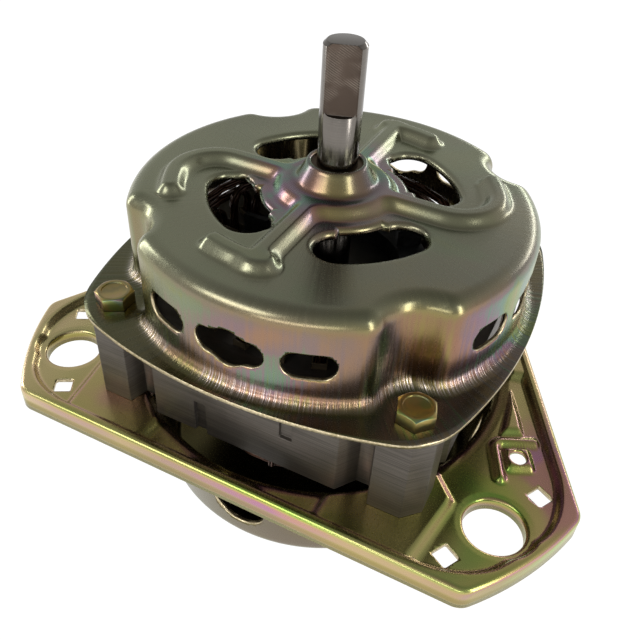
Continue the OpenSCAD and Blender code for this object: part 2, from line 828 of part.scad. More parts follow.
// Outward spiral of a pole: up at its leading side, over the top, down at its trailing side
function spiral(mid, r) =
    let (turn = bundle_bend / r * 180 / PI)
    [for (k = [1:loops]) let (side = half_angle(k) - turn, next = half_angle(k + 1) - turn)
        each concat(
            k == 1 ? [] : bend(mid + side, low_level(k) + bundle_bend, r, -90, 0),
            bend(mid + side, top_level(k) - bundle_bend, r, 0, 90),
            along(mid + side, mid - side, top_level(k), r),
            bend(mid - side, top_level(k) - bundle_bend, r, 90, 180),
            bend(mid - side, low_level(k + 1) + bundle_bend, r, 180, 270),
            k == loops ? [] : along(mid - side, mid + next, low_level(k + 1), r))];

function reversed(list) = [for (i = [len(list) - 1:-1:0]) list[i]];

// The inner end of a spiral goes down and steps to a free radius below the stack
function inner_lead(mid, r, shift) =
    let (a = mid + half_angle(1))
    [[a, low_level(2), r + shift], [a, low_level(2) + bundle_d + 1, r + shift],
        [a, seat_h - bundle_d / 2 - 1, r], [a, seat_h + 1, r]];

// Between the second and third pole the bundle runs round at that free radius
function link(from_mid, to_mid, r, shift) =
    let (free_r = r + shift, turn = bundle_bend / free_r * 180 / PI,
        from = from_mid + half_angle(1), to = to_mid + half_angle(1), level = low_level(2))
    concat([[from, seat_h + 1, r], [from, seat_h - bundle_d / 2 - 1, r]],
        bend(from + turn, level + bundle_bend, free_r, 180, 270),
        along(from + turn, to - turn, level, free_r),
        bend(to - turn, level + bundle_bend, free_r, -90, 0),
        [[to, seat_h - bundle_d / 2 - 1, r], [to, seat_h + 1, r]]);

// Two poles: out along the first spiral, across at the lowest level, and in along the second
function pole_pair(mid, r) =
    let (turn = bundle_bend / r * 180 / PI, level = low_level(loops + 1),
        second = reversed(spiral(mid + 90, r)), entry = mid + 90 - half_angle(loops))
    concat(spiral(mid, r),
        along(mid - half_angle(loops) + turn, entry - turn, level, r),
        bend(entry - turn, level + bundle_bend, r, -90, 0),
        [for (i = [4:len(second) - 1]) second[i]]);

function route(mid, r, shift) =
    concat(inner_lead(mid, r, shift), pole_pair(mid, r), link(mid + 90, mid + 180, r, shift),
        pole_pair(mid + 180, r), reversed(inner_lead(mid + 270, r, shift)));

function place(p) = [p[2] * cos(p[0]), p[2] * sin(p[0]), p[1]];
function unit(v) = v / norm(v);

function ring_at(points, spots, k, sides) =
    let (ahead = points[min(k + 1, len(points) - 1)], behind = points[max(k - 1, 0)],
        heading = unit(ahead - behind), radial = [cos(spots[k][0]), sin(spots[k][0]), 0],
        side = unit(cross(heading, radial)), up = cross(side, heading))
    [for (s = [0:sides - 1])
        points[k] + bundle_d / 2 * (cos(360 * s / sides) * up + sin(360 * s / sides) * side)];

module bundle(spots) {
    sides = 6;
    points = [for (spot = spots) place(spot)];
    last = len(points) - 1;
    skin = [for (k = [0:last]) each ring_at(points, spots, k, sides)];
    walls = [for (k = [0:last - 1], s = [0:sides - 1])
        let (a = k * sides + s, b = k * sides + (s + 1) % sides)
        each [[a, b, a + sides], [b, b + sides, a + sides]]];
    ends = [for (s = [1:sides - 2])
        each [[0, s + 1, s], [last * sides, last * sides + s, last * sides + s + 1]]];
    polyhedron(points = skin, faces = concat(walls, ends));
}

// Least gap of a bundle to itself, from points along it to every stretch that isn't near
function to_stretch(p, a, b) =
    let (t = max(0, min(1, (p - a) * (b - a) / ((b - a) * (b - a))))) norm(p - a - t * (b - a));

function travelled(points) =
    [for (i = 0, sum = 0; i < len(points); sum = sum + (i < len(points) - 1
        ? norm(points[i + 1] - points[i]) : 0), i = i + 1) sum];

function least_gap(points) =
    let (way = travelled(points), near = 4 * bundle_d, last = len(points) - 1)
    min([for (i = [0:last - 1])
        let (count = ceil(norm(points[i + 1] - points[i]) / 3))
        for (s = [0:count - 1])
            let (p = points[i] + (points[i + 1] - points[i]) * s / count,
                at = way[i] + (way[i + 1] - way[i]) * s / count)
            for (j = [0:last - 1])
                if (way[j] > at + near || way[j + 1] < at - near)
                    to_stretch(p, points[j], points[j + 1])]) - bundle_d;

module winding(mid, r, shift, label) {
    spots = route(mid, r, shift);
    points = [for (spot = spots) place(spot)];
    echo(label, loops = 4 * loops, rings = len(spots), least_gap = least_gap(points));
    bundle(spots);
}

module main_winding() {
    color(enamel) winding(0, main_r, lead_shift, "main winding");
}

module auxiliary_winding() {
    color(enamel * 0.8) winding(45, aux_r, -lead_shift, "auxiliary winding");
}

module hex_prism(tall) {
    cylinder(r = hex_r, h = tall, $fn = 6);
}

// Head or nut with its outer corners turned off
module turned_hex(tall, turned_top) {
    chamfer = 0.7;
    intersection() {
        hex_prism(tall);
        union() {
            cylinder(r = hex_r + 0.1, h = tall - chamfer);
            translate([0, 0, tall - chamfer])
                cylinder(r1 = hex_r + 0.1, r2 = turned_top ? hex_af / 2 - 0.3 : hex_r, h = chamfer);
        }
    }
}

// The hexagons of the four bolts stand as they were tightened
module at_bolts(level) {
    for (i = [0:3])
        rotate([0, 0, 45 + 90 * i])
            translate([bolt_axis_r, 0, level])
                rotate([0, 0, hex_turns[i] - 45 - 90 * i]) children();
}

module through_bolts() {
    end_z = seat_under - washer_h - nut_h - 2.5;
    color(zinc)
        at_bolts(0) {
            translate([0, 0, flange_top + slack])
                difference() {
                    turned_hex(head_h, true);
                    translate([0, 0, head_h - dish_h]) cylinder(r = hex_af * 0.37, h = dish_h + eps);
                }
            translate([0, 0, end_z]) cylinder(r = bolt_d / 2, h = flange_top + slack + eps - end_z);
        }
}

module lock_washers() {
    color(steel)
        at_bolts(seat_under - washer_h)
            difference() {
                cylinder(r = hex_af / 2, h = washer_h - slack);
                translate([0, 0, -eps]) cylinder(r = bolt_d / 2 + 0.1, h = washer_h + 2 * eps);
                translate([0, -0.4, -eps]) cube([hex_af, 0.8, washer_h + 2 * eps]);
            }
}

module hex_nuts() {
    color(zinc)
        at_bolts(seat_under - washer_h - nut_h - slack)
            difference() {
                turned_hex(nut_h, false);
                translate([0, 0, -eps]) cylinder(r = bolt_d / 2 + slack, h = nut_h + 2 * eps);
            }
}

// The flat has round corners at its lower end
module flat_cut() {
    half = sqrt(shaft_r ^ 2 - (shaft_r - flat_depth) ^ 2);
    low = shaft_top_z - flat_len;
    corner = half - flat_corner_r;
    bow = [for (i = [0:6]) [corner, low + flat_corner_r] + polar(flat_corner_r, -90 + 15 * i)];
    rotate([0, 0, flat_angle])
        translate([shaft_r - flat_depth, 0, 0])
            rotate([90, 0, 90])
                linear_extrude(flat_depth + 1)
                    polygon([each bow, [half + 1, low + flat_corner_r], [half + 1, shaft_top_z + 1],
                        [-half - 1, shaft_top_z + 1], [-half - 1, low + flat_corner_r],
                        for (i = [6:-1:0]) [-bow[i].x, bow[i].y]]);
}

module clip_groove(ring_z) {
    translate([0, 0, ring_z - slack])
        difference() {
            cylinder(r = shaft_r + 1, h = clip_t + 2 * slack);
            translate([0, 0, -eps]) cylinder(r = clip_root_r, h = clip_t + 2 * slack + 2 * eps);
        }
}

module shaft() {
    color(steel)
        difference() {
            union() {
                translate([0, 0, shaft_low_z])
                    cylinder(r1 = shaft_r - shaft_chamfer, r2 = shaft_r, h = shaft_chamfer);
                translate([0, 0, shaft_low_z + shaft_chamfer])
                    cylinder(r = shaft_r, h = shaft_top_z - shaft_low_z - 2 * shaft_chamfer);
                translate([0, 0, shaft_top_z - shaft_chamfer])
                    cylinder(r1 = shaft_r, r2 = shaft_r - shaft_chamfer, h = shaft_chamfer);
            }
            flat_cut();
            clip_groove(upper_face - clip_drop() - clip_t);
            mirror([0, 0, 1]) clip_groove(lower_face - clip_drop() - clip_t);
        }
}

module at_bars() {
    for (i = [0:bar_count - 1])
        rotate([0, 0, i * 360 / bar_count])
            translate([rotor_r - 1.2 - bar_d / 2, 0, 0]) children();
}

module rotor_core() {
    color(lamination)
        difference() {
            translate([0, 0, seat_h]) cylinder(r = rotor_r, h = core_h, $fn = 180);
            translate([0, 0, seat_h - eps]) cylinder(r = shaft_r, h = core_h + 2 * eps);
            at_bars() translate([0, 0, seat_h - eps]) cylinder(d = bar_d, h = core_h + 2 * eps, $fn = 32);
        }
}

module end_ring() {
    outer = rotor_r - 1;
    difference() {
        cylinder(r = outer, h = end_ring_h);
        translate([0, 0, -eps]) cylinder(r = outer - end_ring_w, h = end_ring_h + 2 * eps);
    }
    for (i = [0:blade_count - 1])
        rotate([0, 0, i * 360 / blade_count])
            translate([outer - end_ring_w + 0.5, -blade_t / 2, end_ring_h - eps])
                cube([end_ring_w - 1, blade_t, blade_h + eps]);
}

module rotor_cage() {
    color([0.75, 0.76, 0.77]) {
        translate([0, 0, core_top + slack / 2]) end_ring();
        translate([0, 0, seat_h - slack / 2]) mirror([0, 0, 1]) end_ring();
        at_bars() translate([0, 0, seat_h - eps]) cylinder(d = bar_d - slack, h = core_h + 2 * eps, $fn = 32);
    }
}

// Bearing parts, drawn with the hub upwards
module bush(ball_z) {
    color([0.52, 0.42, 0.28])
        difference() {
            intersection() {
                translate([0, 0, ball_z]) sphere(r = bush_ball_r);
                translate([0, 0, ball_z - bush_len / 2]) cylinder(r = bush_ball_r + 1, h = bush_len);
            }
            translate([0, 0, ball_z - bush_len]) cylinder(r = shaft_r + bush_gap, h = 2 * bush_len);
        }
}

module bush_retainer(seat_z, ball_z) {
    tip_z = ball_z - claw_drop;
    color(steel)
        difference() {
            rotate_extrude()
                polygon([[claw_tip_r, tip_z], [knee_r, seat_z], [retainer_r, seat_z],
                    [retainer_r, seat_z - retainer_t], [knee_r, seat_z - retainer_t],
                    [claw_tip_r, tip_z - retainer_t]]);
            for (i = [0:claw_count - 1])
                rotate([0, 0, i * 360 / claw_count])
                    translate([0, -0.8, tip_z - retainer_t - 1]) cube([felt_r - 1, 1.6, seat_z - tip_z + 3]);
        }
}

module oil_felt(seat_z, ball_z, top_z) {
    tip_z = ball_z - claw_drop;
    rise_rate = (seat_z - tip_z) / (knee_r - claw_tip_r);
    in_r = bush_ball_r + 0.2;
    function above_claws(r) = tip_z + (r - claw_tip_r) * rise_rate + 0.1;
    color([0.80, 0.78, 0.70])
        rotate_extrude()
            polygon([[in_r, above_claws(in_r)], [felt_r, above_claws(felt_r)], [felt_r, top_z], [in_r, top_z]]);
}

module thrust_washer(face_z) {
    color([0.86, 0.82, 0.70])
        translate([0, 0, face_z - end_play - washer_t])
            difference() {
                cylinder(r = thrust_r, h = washer_t);
                translate([0, 0, -eps]) cylinder(r = shaft_r + slack, h = washer_t + 2 * eps);
            }
}

module oil_slinger(face_z) {
    disc_z = face_z - end_play - 2 * washer_t - slack;
    disc_h = face_z + end_play - disc_z;
    color([0.20, 0.20, 0.20])
        difference() {
            translate([0, 0, disc_z]) cylinder(r = slinger_r, h = disc_h);
            translate([0, 0, disc_z + washer_t]) cylinder(r = slinger_r - washer_t, h = disc_h);
            translate([0, 0, disc_z - eps]) cylinder(r = shaft_r + slack, h = disc_h);
        }
}

module retaining_ring(face_z) {
    color(steel)
        translate([0, 0, face_z - clip_drop() - clip_t])
            difference() {
                cylinder(r = clip_r, h = clip_t);
                translate([0, 0, -eps]) cylinder(r = clip_root_r + slack, h = clip_t + 2 * eps);
                translate([0, -clip_gap / 2, -eps]) cube([2 * clip_r, clip_gap, clip_t + 2 * eps]);
            }
}

module downwards() {
    mirror([0, 0, 1]) children();
}

module upper_bush() { bush(upper_ball); }
module lower_bush() { downwards() bush(lower_ball); }
module upper_oil_felt() { oil_felt(upper_seat, upper_ball, deck_z - cover_t - slack); }
module lower_oil_felt() { downwards() oil_felt(lower_seat, lower_ball, lower_seat); }
module upper_bush_retainer() { bush_retainer(upper_seat, upper_ball); }
module lower_bush_retainer() { downwards() bush_retainer(lower_seat, lower_ball); }
module upper_thrust_washer() { thrust_washer(upper_face); }
module lower_thrust_washer() { downwards() thrust_washer(lower_face); }
module upper_oil_slinger() { oil_slinger(upper_face); }
module lower_oil_slinger() { downwards() oil_slinger(lower_face); }
module upper_retaining_ring() { retaining_ring(upper_face); }
module lower_retaining_ring() { downwards() retaining_ring(lower_face); }

drive_end_cover();
base_cover();
stator_core();
slot_liners();
slot_wedges();
main_winding();
auxiliary_winding();
through_bolts();
lock_washers();
hex_nuts();
shaft();
rotor_core();
rotor_cage();
upper_bush();
lower_bush();
upper_oil_felt();
lower_oil_felt();
upper_bush_retainer();
lower_bush_retainer();
upper_thrust_washer();
lower_thrust_washer();
upper_oil_slinger();
lower_oil_slinger();
upper_retaining_ring();
lower_retaining_ring();
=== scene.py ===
"""Looks of a washing machine motor: plated covers, laminated stack, windings, bolts and shaft."""

import logging
import math
from dataclasses import dataclass, field
from enum import Enum
from typing import Callable, Sequence

import bmesh
import bpy
import numpy as np
from mathutils import Matrix, Vector


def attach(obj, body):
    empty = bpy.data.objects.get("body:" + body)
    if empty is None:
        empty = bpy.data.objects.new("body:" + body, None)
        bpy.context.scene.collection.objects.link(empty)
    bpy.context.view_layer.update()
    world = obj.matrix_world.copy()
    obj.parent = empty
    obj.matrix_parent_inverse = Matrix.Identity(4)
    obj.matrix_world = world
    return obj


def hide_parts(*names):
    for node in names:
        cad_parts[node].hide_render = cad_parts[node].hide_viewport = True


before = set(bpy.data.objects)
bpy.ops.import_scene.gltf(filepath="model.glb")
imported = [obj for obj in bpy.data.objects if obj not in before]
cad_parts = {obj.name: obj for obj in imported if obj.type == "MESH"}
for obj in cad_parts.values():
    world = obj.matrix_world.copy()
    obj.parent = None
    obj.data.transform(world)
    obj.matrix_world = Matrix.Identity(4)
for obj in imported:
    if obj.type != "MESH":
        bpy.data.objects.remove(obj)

LOG = logging.getLogger("motor")
MM = 0.001
# Bolt places and holes, and the distance that stands for far from any hole, in millimetres
BOLT_REACH = 47.35
BOLT_HOLE_R = 3.7
OFF_WALL = 9.0

Array = np.ndarray
Colour = tuple[float, float, float]
Level = Callable[[Array], Array]
Socket = bpy.types.NodeSocket
Material = bpy.types.Material
Mesh = bmesh.types.BMesh
Edge = bmesh.types.BMEdge
Ramp = tuple[tuple[float, Colour], ...]
Span = tuple[float, float]
Line = list[list[float]]
Spots = tuple[tuple[float, float], ...]


class Body(Enum):
    """The two bodies that the pieces ride on."""

    FRAME = "frame"
    ROTOR = "rotor"


# Plane shapes and their distances, in millimetres


def smooth_step(t: Array) -> Array:
    """Eases from 0 to 1 over the unit range."""
    t = np.clip(t, 0.0, 1.0)
    return t * t * t * (t * (6 * t - 15) + 10)


def soft_min(a: Array, b: Array, blend: float) -> Array:
    """The smaller of two fields, with a round transition.

    Args:
        a: First field.
        b: Second field.
        blend: Width of the transition.

    Returns:
        The blended field.
    """
    h = np.clip(0.5 + 0.5 * (b - a) / blend, 0.0, 1.0)
    return b + (a - b) * h - blend * h * (1 - h)


def polar(radius: float, degrees: float) -> Array:
    """Point at a radius and an angle."""
    a = math.radians(degrees)
    return np.array([radius * math.cos(a), radius * math.sin(a)])


def arc(centre: Sequence[float], radius: float, start: float, end: float, count: int) -> list[Array]:
    """Points along an arc.

    Args:
        centre: Centre of the arc.
        radius: Its radius.
        start: Angle of the first point, in degrees.
        end: Angle of the last point.
        count: Number of stretches.

    Returns:
        The points, first and last included.
    """
    return [np.array(centre) + polar(radius, start + (end - start) * i / count) for i in range(count + 1)]


def line_distance(points: Array, line: Array) -> Array:
    """Distance of plane points to an open line.

    Args:
        points: Points, one a row.
        line: The line's own points.

    Returns:
        One distance a point.
    """
    best = np.full(len(points), 1e9)
    for a, b in zip(line[:-1], line[1:]):
        run = b - a
        t = np.clip(((points - a) @ run) / max(float(run @ run), 1e-12), 0, 1)
        best = np.minimum(best, np.hypot(*(points - a - t[:, None] * run).T))
    return best


def ring_distance(points: Array, ring: Array) -> Array:
    """Signed distance of plane points to a closed outline, negative inside.

    Args:
        points: Points, one a row.
        ring: The outline's own points.

    Returns:
        One distance a point.
    """
    closed = np.vstack([ring, ring[:1]])
    far = line_distance(points, closed)
    inside = np.zeros(len(points), bool)
    for a, b in zip(closed[:-1], closed[1:]):
        crossing = (a[1] > points[:, 1]) != (b[1] > points[:, 1])
        if abs(b[1] - a[1]) > 1e-12:
            x = a[0] + (points[:, 1] - a[1]) * (b[0] - a[0]) / (b[1] - a[1])
            inside ^= crossing & (points[:, 0] < x)
    return np.where(inside, -far, far)


def box_distance(points: Array, half: Sequence[float], corner: float = 0.0) -> Array:
    """Signed distance to a rectangle about the origin with round corners."""
    q = np.abs(points) - (np.array(half) - corner)
    return np.hypot(*np.maximum(q, 0).T) + np.minimum(q.max(axis=1), 0) - corner


def turned(points: Array, degrees: float) -> Array:
    """Plane points turned about the axis."""
    c, s = math.cos(math.radians(degrees)), math.sin(math.radians(degrees))
    return points @ np.array([[c, s], [-s, c]])


def rays(degrees: Array) -> Array:
    """Unit vector in plan at each angle."""
    return np.column_stack([np.cos(np.radians(degrees)), np.sin(np.radians(degrees))])


def around(points: Array) -> tuple[Array, Array]:
    """Radius and angle in degrees of each point."""
    return np.hypot(points[:, 0], points[:, 1]), np.degrees(np.arctan2(points[:, 1], points[:, 0]))


def sector_turn(degrees: Array, pitch: float, middle: float) -> Array:
    """Angle from the middle of the nearest of equally spaced sectors."""
    return (degrees - middle + pitch / 2) % pitch - pitch / 2


def bolt_hole(places: Array) -> Array:
    """Distance outside the four through bolts' holes."""
    return np.hypot(*(np.abs(places[:, :2]) - BOLT_REACH).T) - BOLT_HOLE_R


def stood(name: str, data: bpy.types.ID) -> bpy.types.Object:
    """New object in the scene."""
    thing = bpy.data.objects.new(name, data)
    bpy.context.scene.collection.objects.link(thing)
    return thing


# Sheet skins: a profile is spun round the axis, pressed to shape and pierced


@dataclass
class Skin:
    """A thin sheet in the making, in millimetres."""

    mesh: Mesh

    @classmethod
    def spun(cls, profile: Sequence[Sequence[float]], steps: int) -> "Skin":
        """Spins a profile of radius and height through a full turn.

        Args:
            profile: Pairs of radius and height, from the inside outwards.
            steps: Number of steps in the turn.

        Returns:
            The new skin.
        """
        mesh = bmesh.new()
        verts = [mesh.verts.new((r, 0.0, z)) for r, z in profile]
        edges = [mesh.edges.new(pair) for pair in zip(verts, verts[1:])]
        bmesh.ops.spin(mesh, geom=verts + edges, cent=(0, 0, 0), axis=(0, 0, 1), dvec=(0, 0, 0),
                       angle=math.tau, steps=steps, use_merge=True, use_duplicate=False)
        bmesh.ops.remove_doubles(mesh, verts=mesh.verts, dist=1e-4)
        return cls(mesh)

    def places(self) -> Array:
        """Every vertex place, one a row."""
        return np.array([v.co for v in self.mesh.verts], float).reshape(-1, 3)

    def press(self, shape: Callable[[Array], Array]) -> None:
        """Moves every vertex to where the pressed shape puts it."""
        for vert, place in zip(self.mesh.verts, shape(self.places())):
            vert.co = place

    def pierce(self, level: Level, snap: float) -> list[Edge]:
        """Cuts the skin along the zero line of a field and removes what is below zero.

        Args:
            level: Distance field on points of the skin, negative where the sheet is gone.
            snap: Vertices nearer to the line than this are moved onto it.

        Returns:
            The edges of the new openings.
        """
        mesh = self.mesh
        mesh.normal_update()
        points = self.places()
        value = level(points)
        near = np.nonzero(np.abs(value) < snap)[0]
        mesh.verts.ensure_lookup_table()
        if len(near):
            normals = np.array([mesh.verts[i].normal for i in near])
            slope = self.slope(level, points[near], normals)
            moved = points[near] - slope * value[near][:, None]
            for i, place in zip(near, moved):
                mesh.verts[i].co = place
            value[near] = 0.0
        known = {vert: float(v) for vert, v in zip(mesh.verts, value)}
        crossing = [e for e in mesh.edges if known[e.verts[0]] * known[e.verts[1]] < 0]
        faces = set()
        for edge in crossing:
            faces.update(edge.link_faces)
            first, second = edge.verts
            share = known[first] / (known[first] - known[second])
            _, new = bmesh.utils.edge_split(edge, first, share)
            known[new] = 0.0
        for face in list(mesh.faces):
            if face in faces or sum(known[v] == 0.0 for v in face.verts) >= 2:
                self.part(face, known)
        gone = [f for f in mesh.faces if min(known[v] for v in f.verts) < 0]
        bmesh.ops.delete(mesh, geom=gone, context="FACES")
        rims = [e for e in mesh.edges if len(e.link_faces) == 1]
        return [e for e in rims if all(known.get(v, 1) == 0.0 for v in e.verts)]

    @staticmethod
    def part(face: bmesh.types.BMFace, known: dict) -> None:
        """Splits one face along the zero line where it has both sides.

        Args:
            face: The face.
            known: Value of the field at each vertex.
        """
        values = [known[v] for v in face.verts]
        if min(values) >= 0 or max(values) <= 0:
            return
        verts = list(face.verts)
        zero = [i for i, v in enumerate(values) if v == 0.0]
        for a in zero:
            for b in zero:
                if b - a < 2 or (a == 0 and b == len(verts) - 1):
                    continue
                middle = values[a + 1:b]
                rest = values[b + 1:] + values[:a]
                if max(map(abs, middle)) > 0 and max(map(abs, rest)) > 0 and sum(middle) * sum(rest) < 0:
                    bmesh.utils.face_split(face, verts[a], verts[b])
                    return

    @staticmethod
    def slope(level: Level, points: Array, normals: Array) -> Array:
        """Unit direction along the sheet in which the field rises.

        Args:
            level: The field.
            points: Points on the sheet.
            normals: The sheet's normals there.

        Returns:
            One direction a point.
        """
        helper = np.where(np.abs(normals[:, 2:3]) < 0.9, [[0.0, 0.0, 1.0]], [[1.0, 0.0, 0.0]])
        side = np.cross(normals, helper)
        side /= np.linalg.norm(side, axis=1)[:, None]
        other = np.cross(normals, side)
        reach = 0.02
        a = (level(points + side * reach) - level(points - side * reach)) / (2 * reach)
        b = (level(points + other * reach) - level(points - other * reach)) / (2 * reach)
        way = side * a[:, None] + other * b[:, None]
        return way / np.maximum(np.linalg.norm(way, axis=1)[:, None], 1e-9)

    def roll_edge(self, edges: list[Edge], level: Level, roll: float, depth: float,
                  steps: int = 6, upright: bool = False) -> None:
        """Rolls the sheet over at an opening and runs it straight down from there.

        Args:
            edges: The opening's edges.
            level: Field that the opening was cut by.
            roll: Radius of the rolled edge.
            depth: Depth of the lip below the sheet.
            steps: Number of steps in the roll.
            upright: Whether the lip runs down along the shaft axis instead of square to the sheet.
        """
        base = list({v for e in edges for v in e.verts})
        points = np.array([v.co for v in base])
        normals = np.array([(0.0, 0.0, 1.0) if upright else tuple(v.normal) for v in base])
        way = -self.slope(level, points, normals)
        home = {v: (points[i], way[i], normals[i]) for i, v in enumerate(base)}
        stages = [(roll * math.sin(a), roll * (1 - math.cos(a)))
                  for a in (math.pi / 2 * k / steps for k in range(1, steps + 1))]
        if depth > roll + 0.2:
            stages.append((roll, depth))
        for inward, down in stages:
            made = bmesh.ops.extrude_edge_only(self.mesh, edges=edges)["geom"]
            fresh = [g for g in made if isinstance(g, bmesh.types.BMVert)]
            new_home = {}
            for vert in fresh:
                source = next(e.other_vert(vert) for e in vert.link_edges if e.other_vert(vert) in home)
                place, forth, normal = home[source]
                vert.co = place + forth * inward - normal * down
                new_home[vert] = home[source]
            edges = [g for g in made if isinstance(g, Edge)
                     and g.verts[0] in new_home and g.verts[1] in new_home]
            home = new_home


@dataclass
class Workshop:
    """Turns finished meshes into pieces that ride on the frame."""

    made: list[bpy.types.Object] = field(default_factory=list)

    def deliver(self, mesh: Mesh, name: str, body: Body, finishes: Sequence[Material],
                nodes: Sequence[str], sharp: float = 40.0,
                seam: Callable[[Vector], bool] | None = None) -> bpy.types.Object:
        """Makes an object of a mesh in millimetres and puts it on its body.

        Args:
            mesh: The finished mesh, which is freed.
            name: Name of the piece.
            body: Body that it rides on.
            finishes: Its materials, in order.
            nodes: CAD nodes that it stands for.
            sharp: Edges bent further than this stay sharp, in degrees.
            seam: Tells the places where the skin meets its neighbour, which stay sharp.

        Returns:
            The new piece.
        """
        bmesh.ops.scale(mesh, vec=(MM, MM, MM), verts=mesh.verts)
        mesh.edges.index_update()
        rims = [edge for edge in mesh.edges if seam and edge.is_boundary]
        crisp = [edge.index for edge in rims if all(seam(v.co / MM) for v in edge.verts)]
        data = bpy.data.meshes.new(name)
        mesh.to_mesh(data)
        mesh.free()
        for finish in finishes:
            data.materials.append(finish)
        data.shade_smooth()
        data.set_sharp_from_angle(angle=math.radians(sharp))
        for index in crisp:
            data.edges[index].use_edge_sharp = True
        piece = stood(name, data)
        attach(piece, body.value)
        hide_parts(*nodes)
        self.made.append(piece)
        LOG.info("%s stands for %s", name, ", ".join(nodes))
        return piece

    def pressed(self, skin: Skin, name: str, sheet: float, finishes: Sequence[Material], node: str,
                seam: Callable[[Vector], bool]) -> None:
        """Delivers a skin and gives it its sheet thickness, inwards.

        Args:
            skin: The finished skin.
            name: Name of the piece.
            sheet: Thickness, in millimetres.
            finishes: Materials of the faces and of the cut edges.
            node: CAD node that it stands for.
            seam: Tells the places where the skin meets its neighbour.
        """
        piece = self.deliver(skin.mesh, name, Body.FRAME, finishes, [node], 60, seam)
        solid = piece.modifiers.new("sheet", "SOLIDIFY")
        solid.thickness = sheet * MM
        solid.offset = -1
        solid.use_quality_normals = True
        solid.material_offset_rim = 1

    def softened(self, node: str, name: str, body: Body, finish: Material, slot: str,
                 round_edge: float) -> bpy.types.Object:
        """Rounds the edges of a node's own shape.

        Args:
            node: The CAD node.
            name: Name of the piece.
            body: Body that it rides on.
            finish: Its material.
            slot: Name of the material's slot; not used.
            round_edge: Width of the rounded edges, 0 for none.

        Returns:
            The new piece.
        """
        mesh = bmesh.new()
        mesh.from_mesh(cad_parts[node].data)
        bmesh.ops.scale(mesh, vec=(1 / MM,) * 3, verts=mesh.verts)
        bmesh.ops.remove_doubles(mesh, verts=mesh.verts, dist=0.002)
        bmesh.ops.dissolve_limit(mesh, angle_limit=math.radians(0.6), verts=mesh.verts, edges=mesh.edges)
        if round_edge > 0:
            inner = [e for e in mesh.edges if len(e.link_faces) == 2]
            edges = [e for e in inner if e.calc_face_angle(0) > math.radians(28)]
            bmesh.ops.bevel(mesh, geom=edges, offset=round_edge, offset_type="OFFSET", segments=2,
                            profile=0.5, affect="EDGES", material=-1, clamp_overlap=True)
        return self.deliver(mesh, name, body, [finish], [node], 35.0)


# Finishes


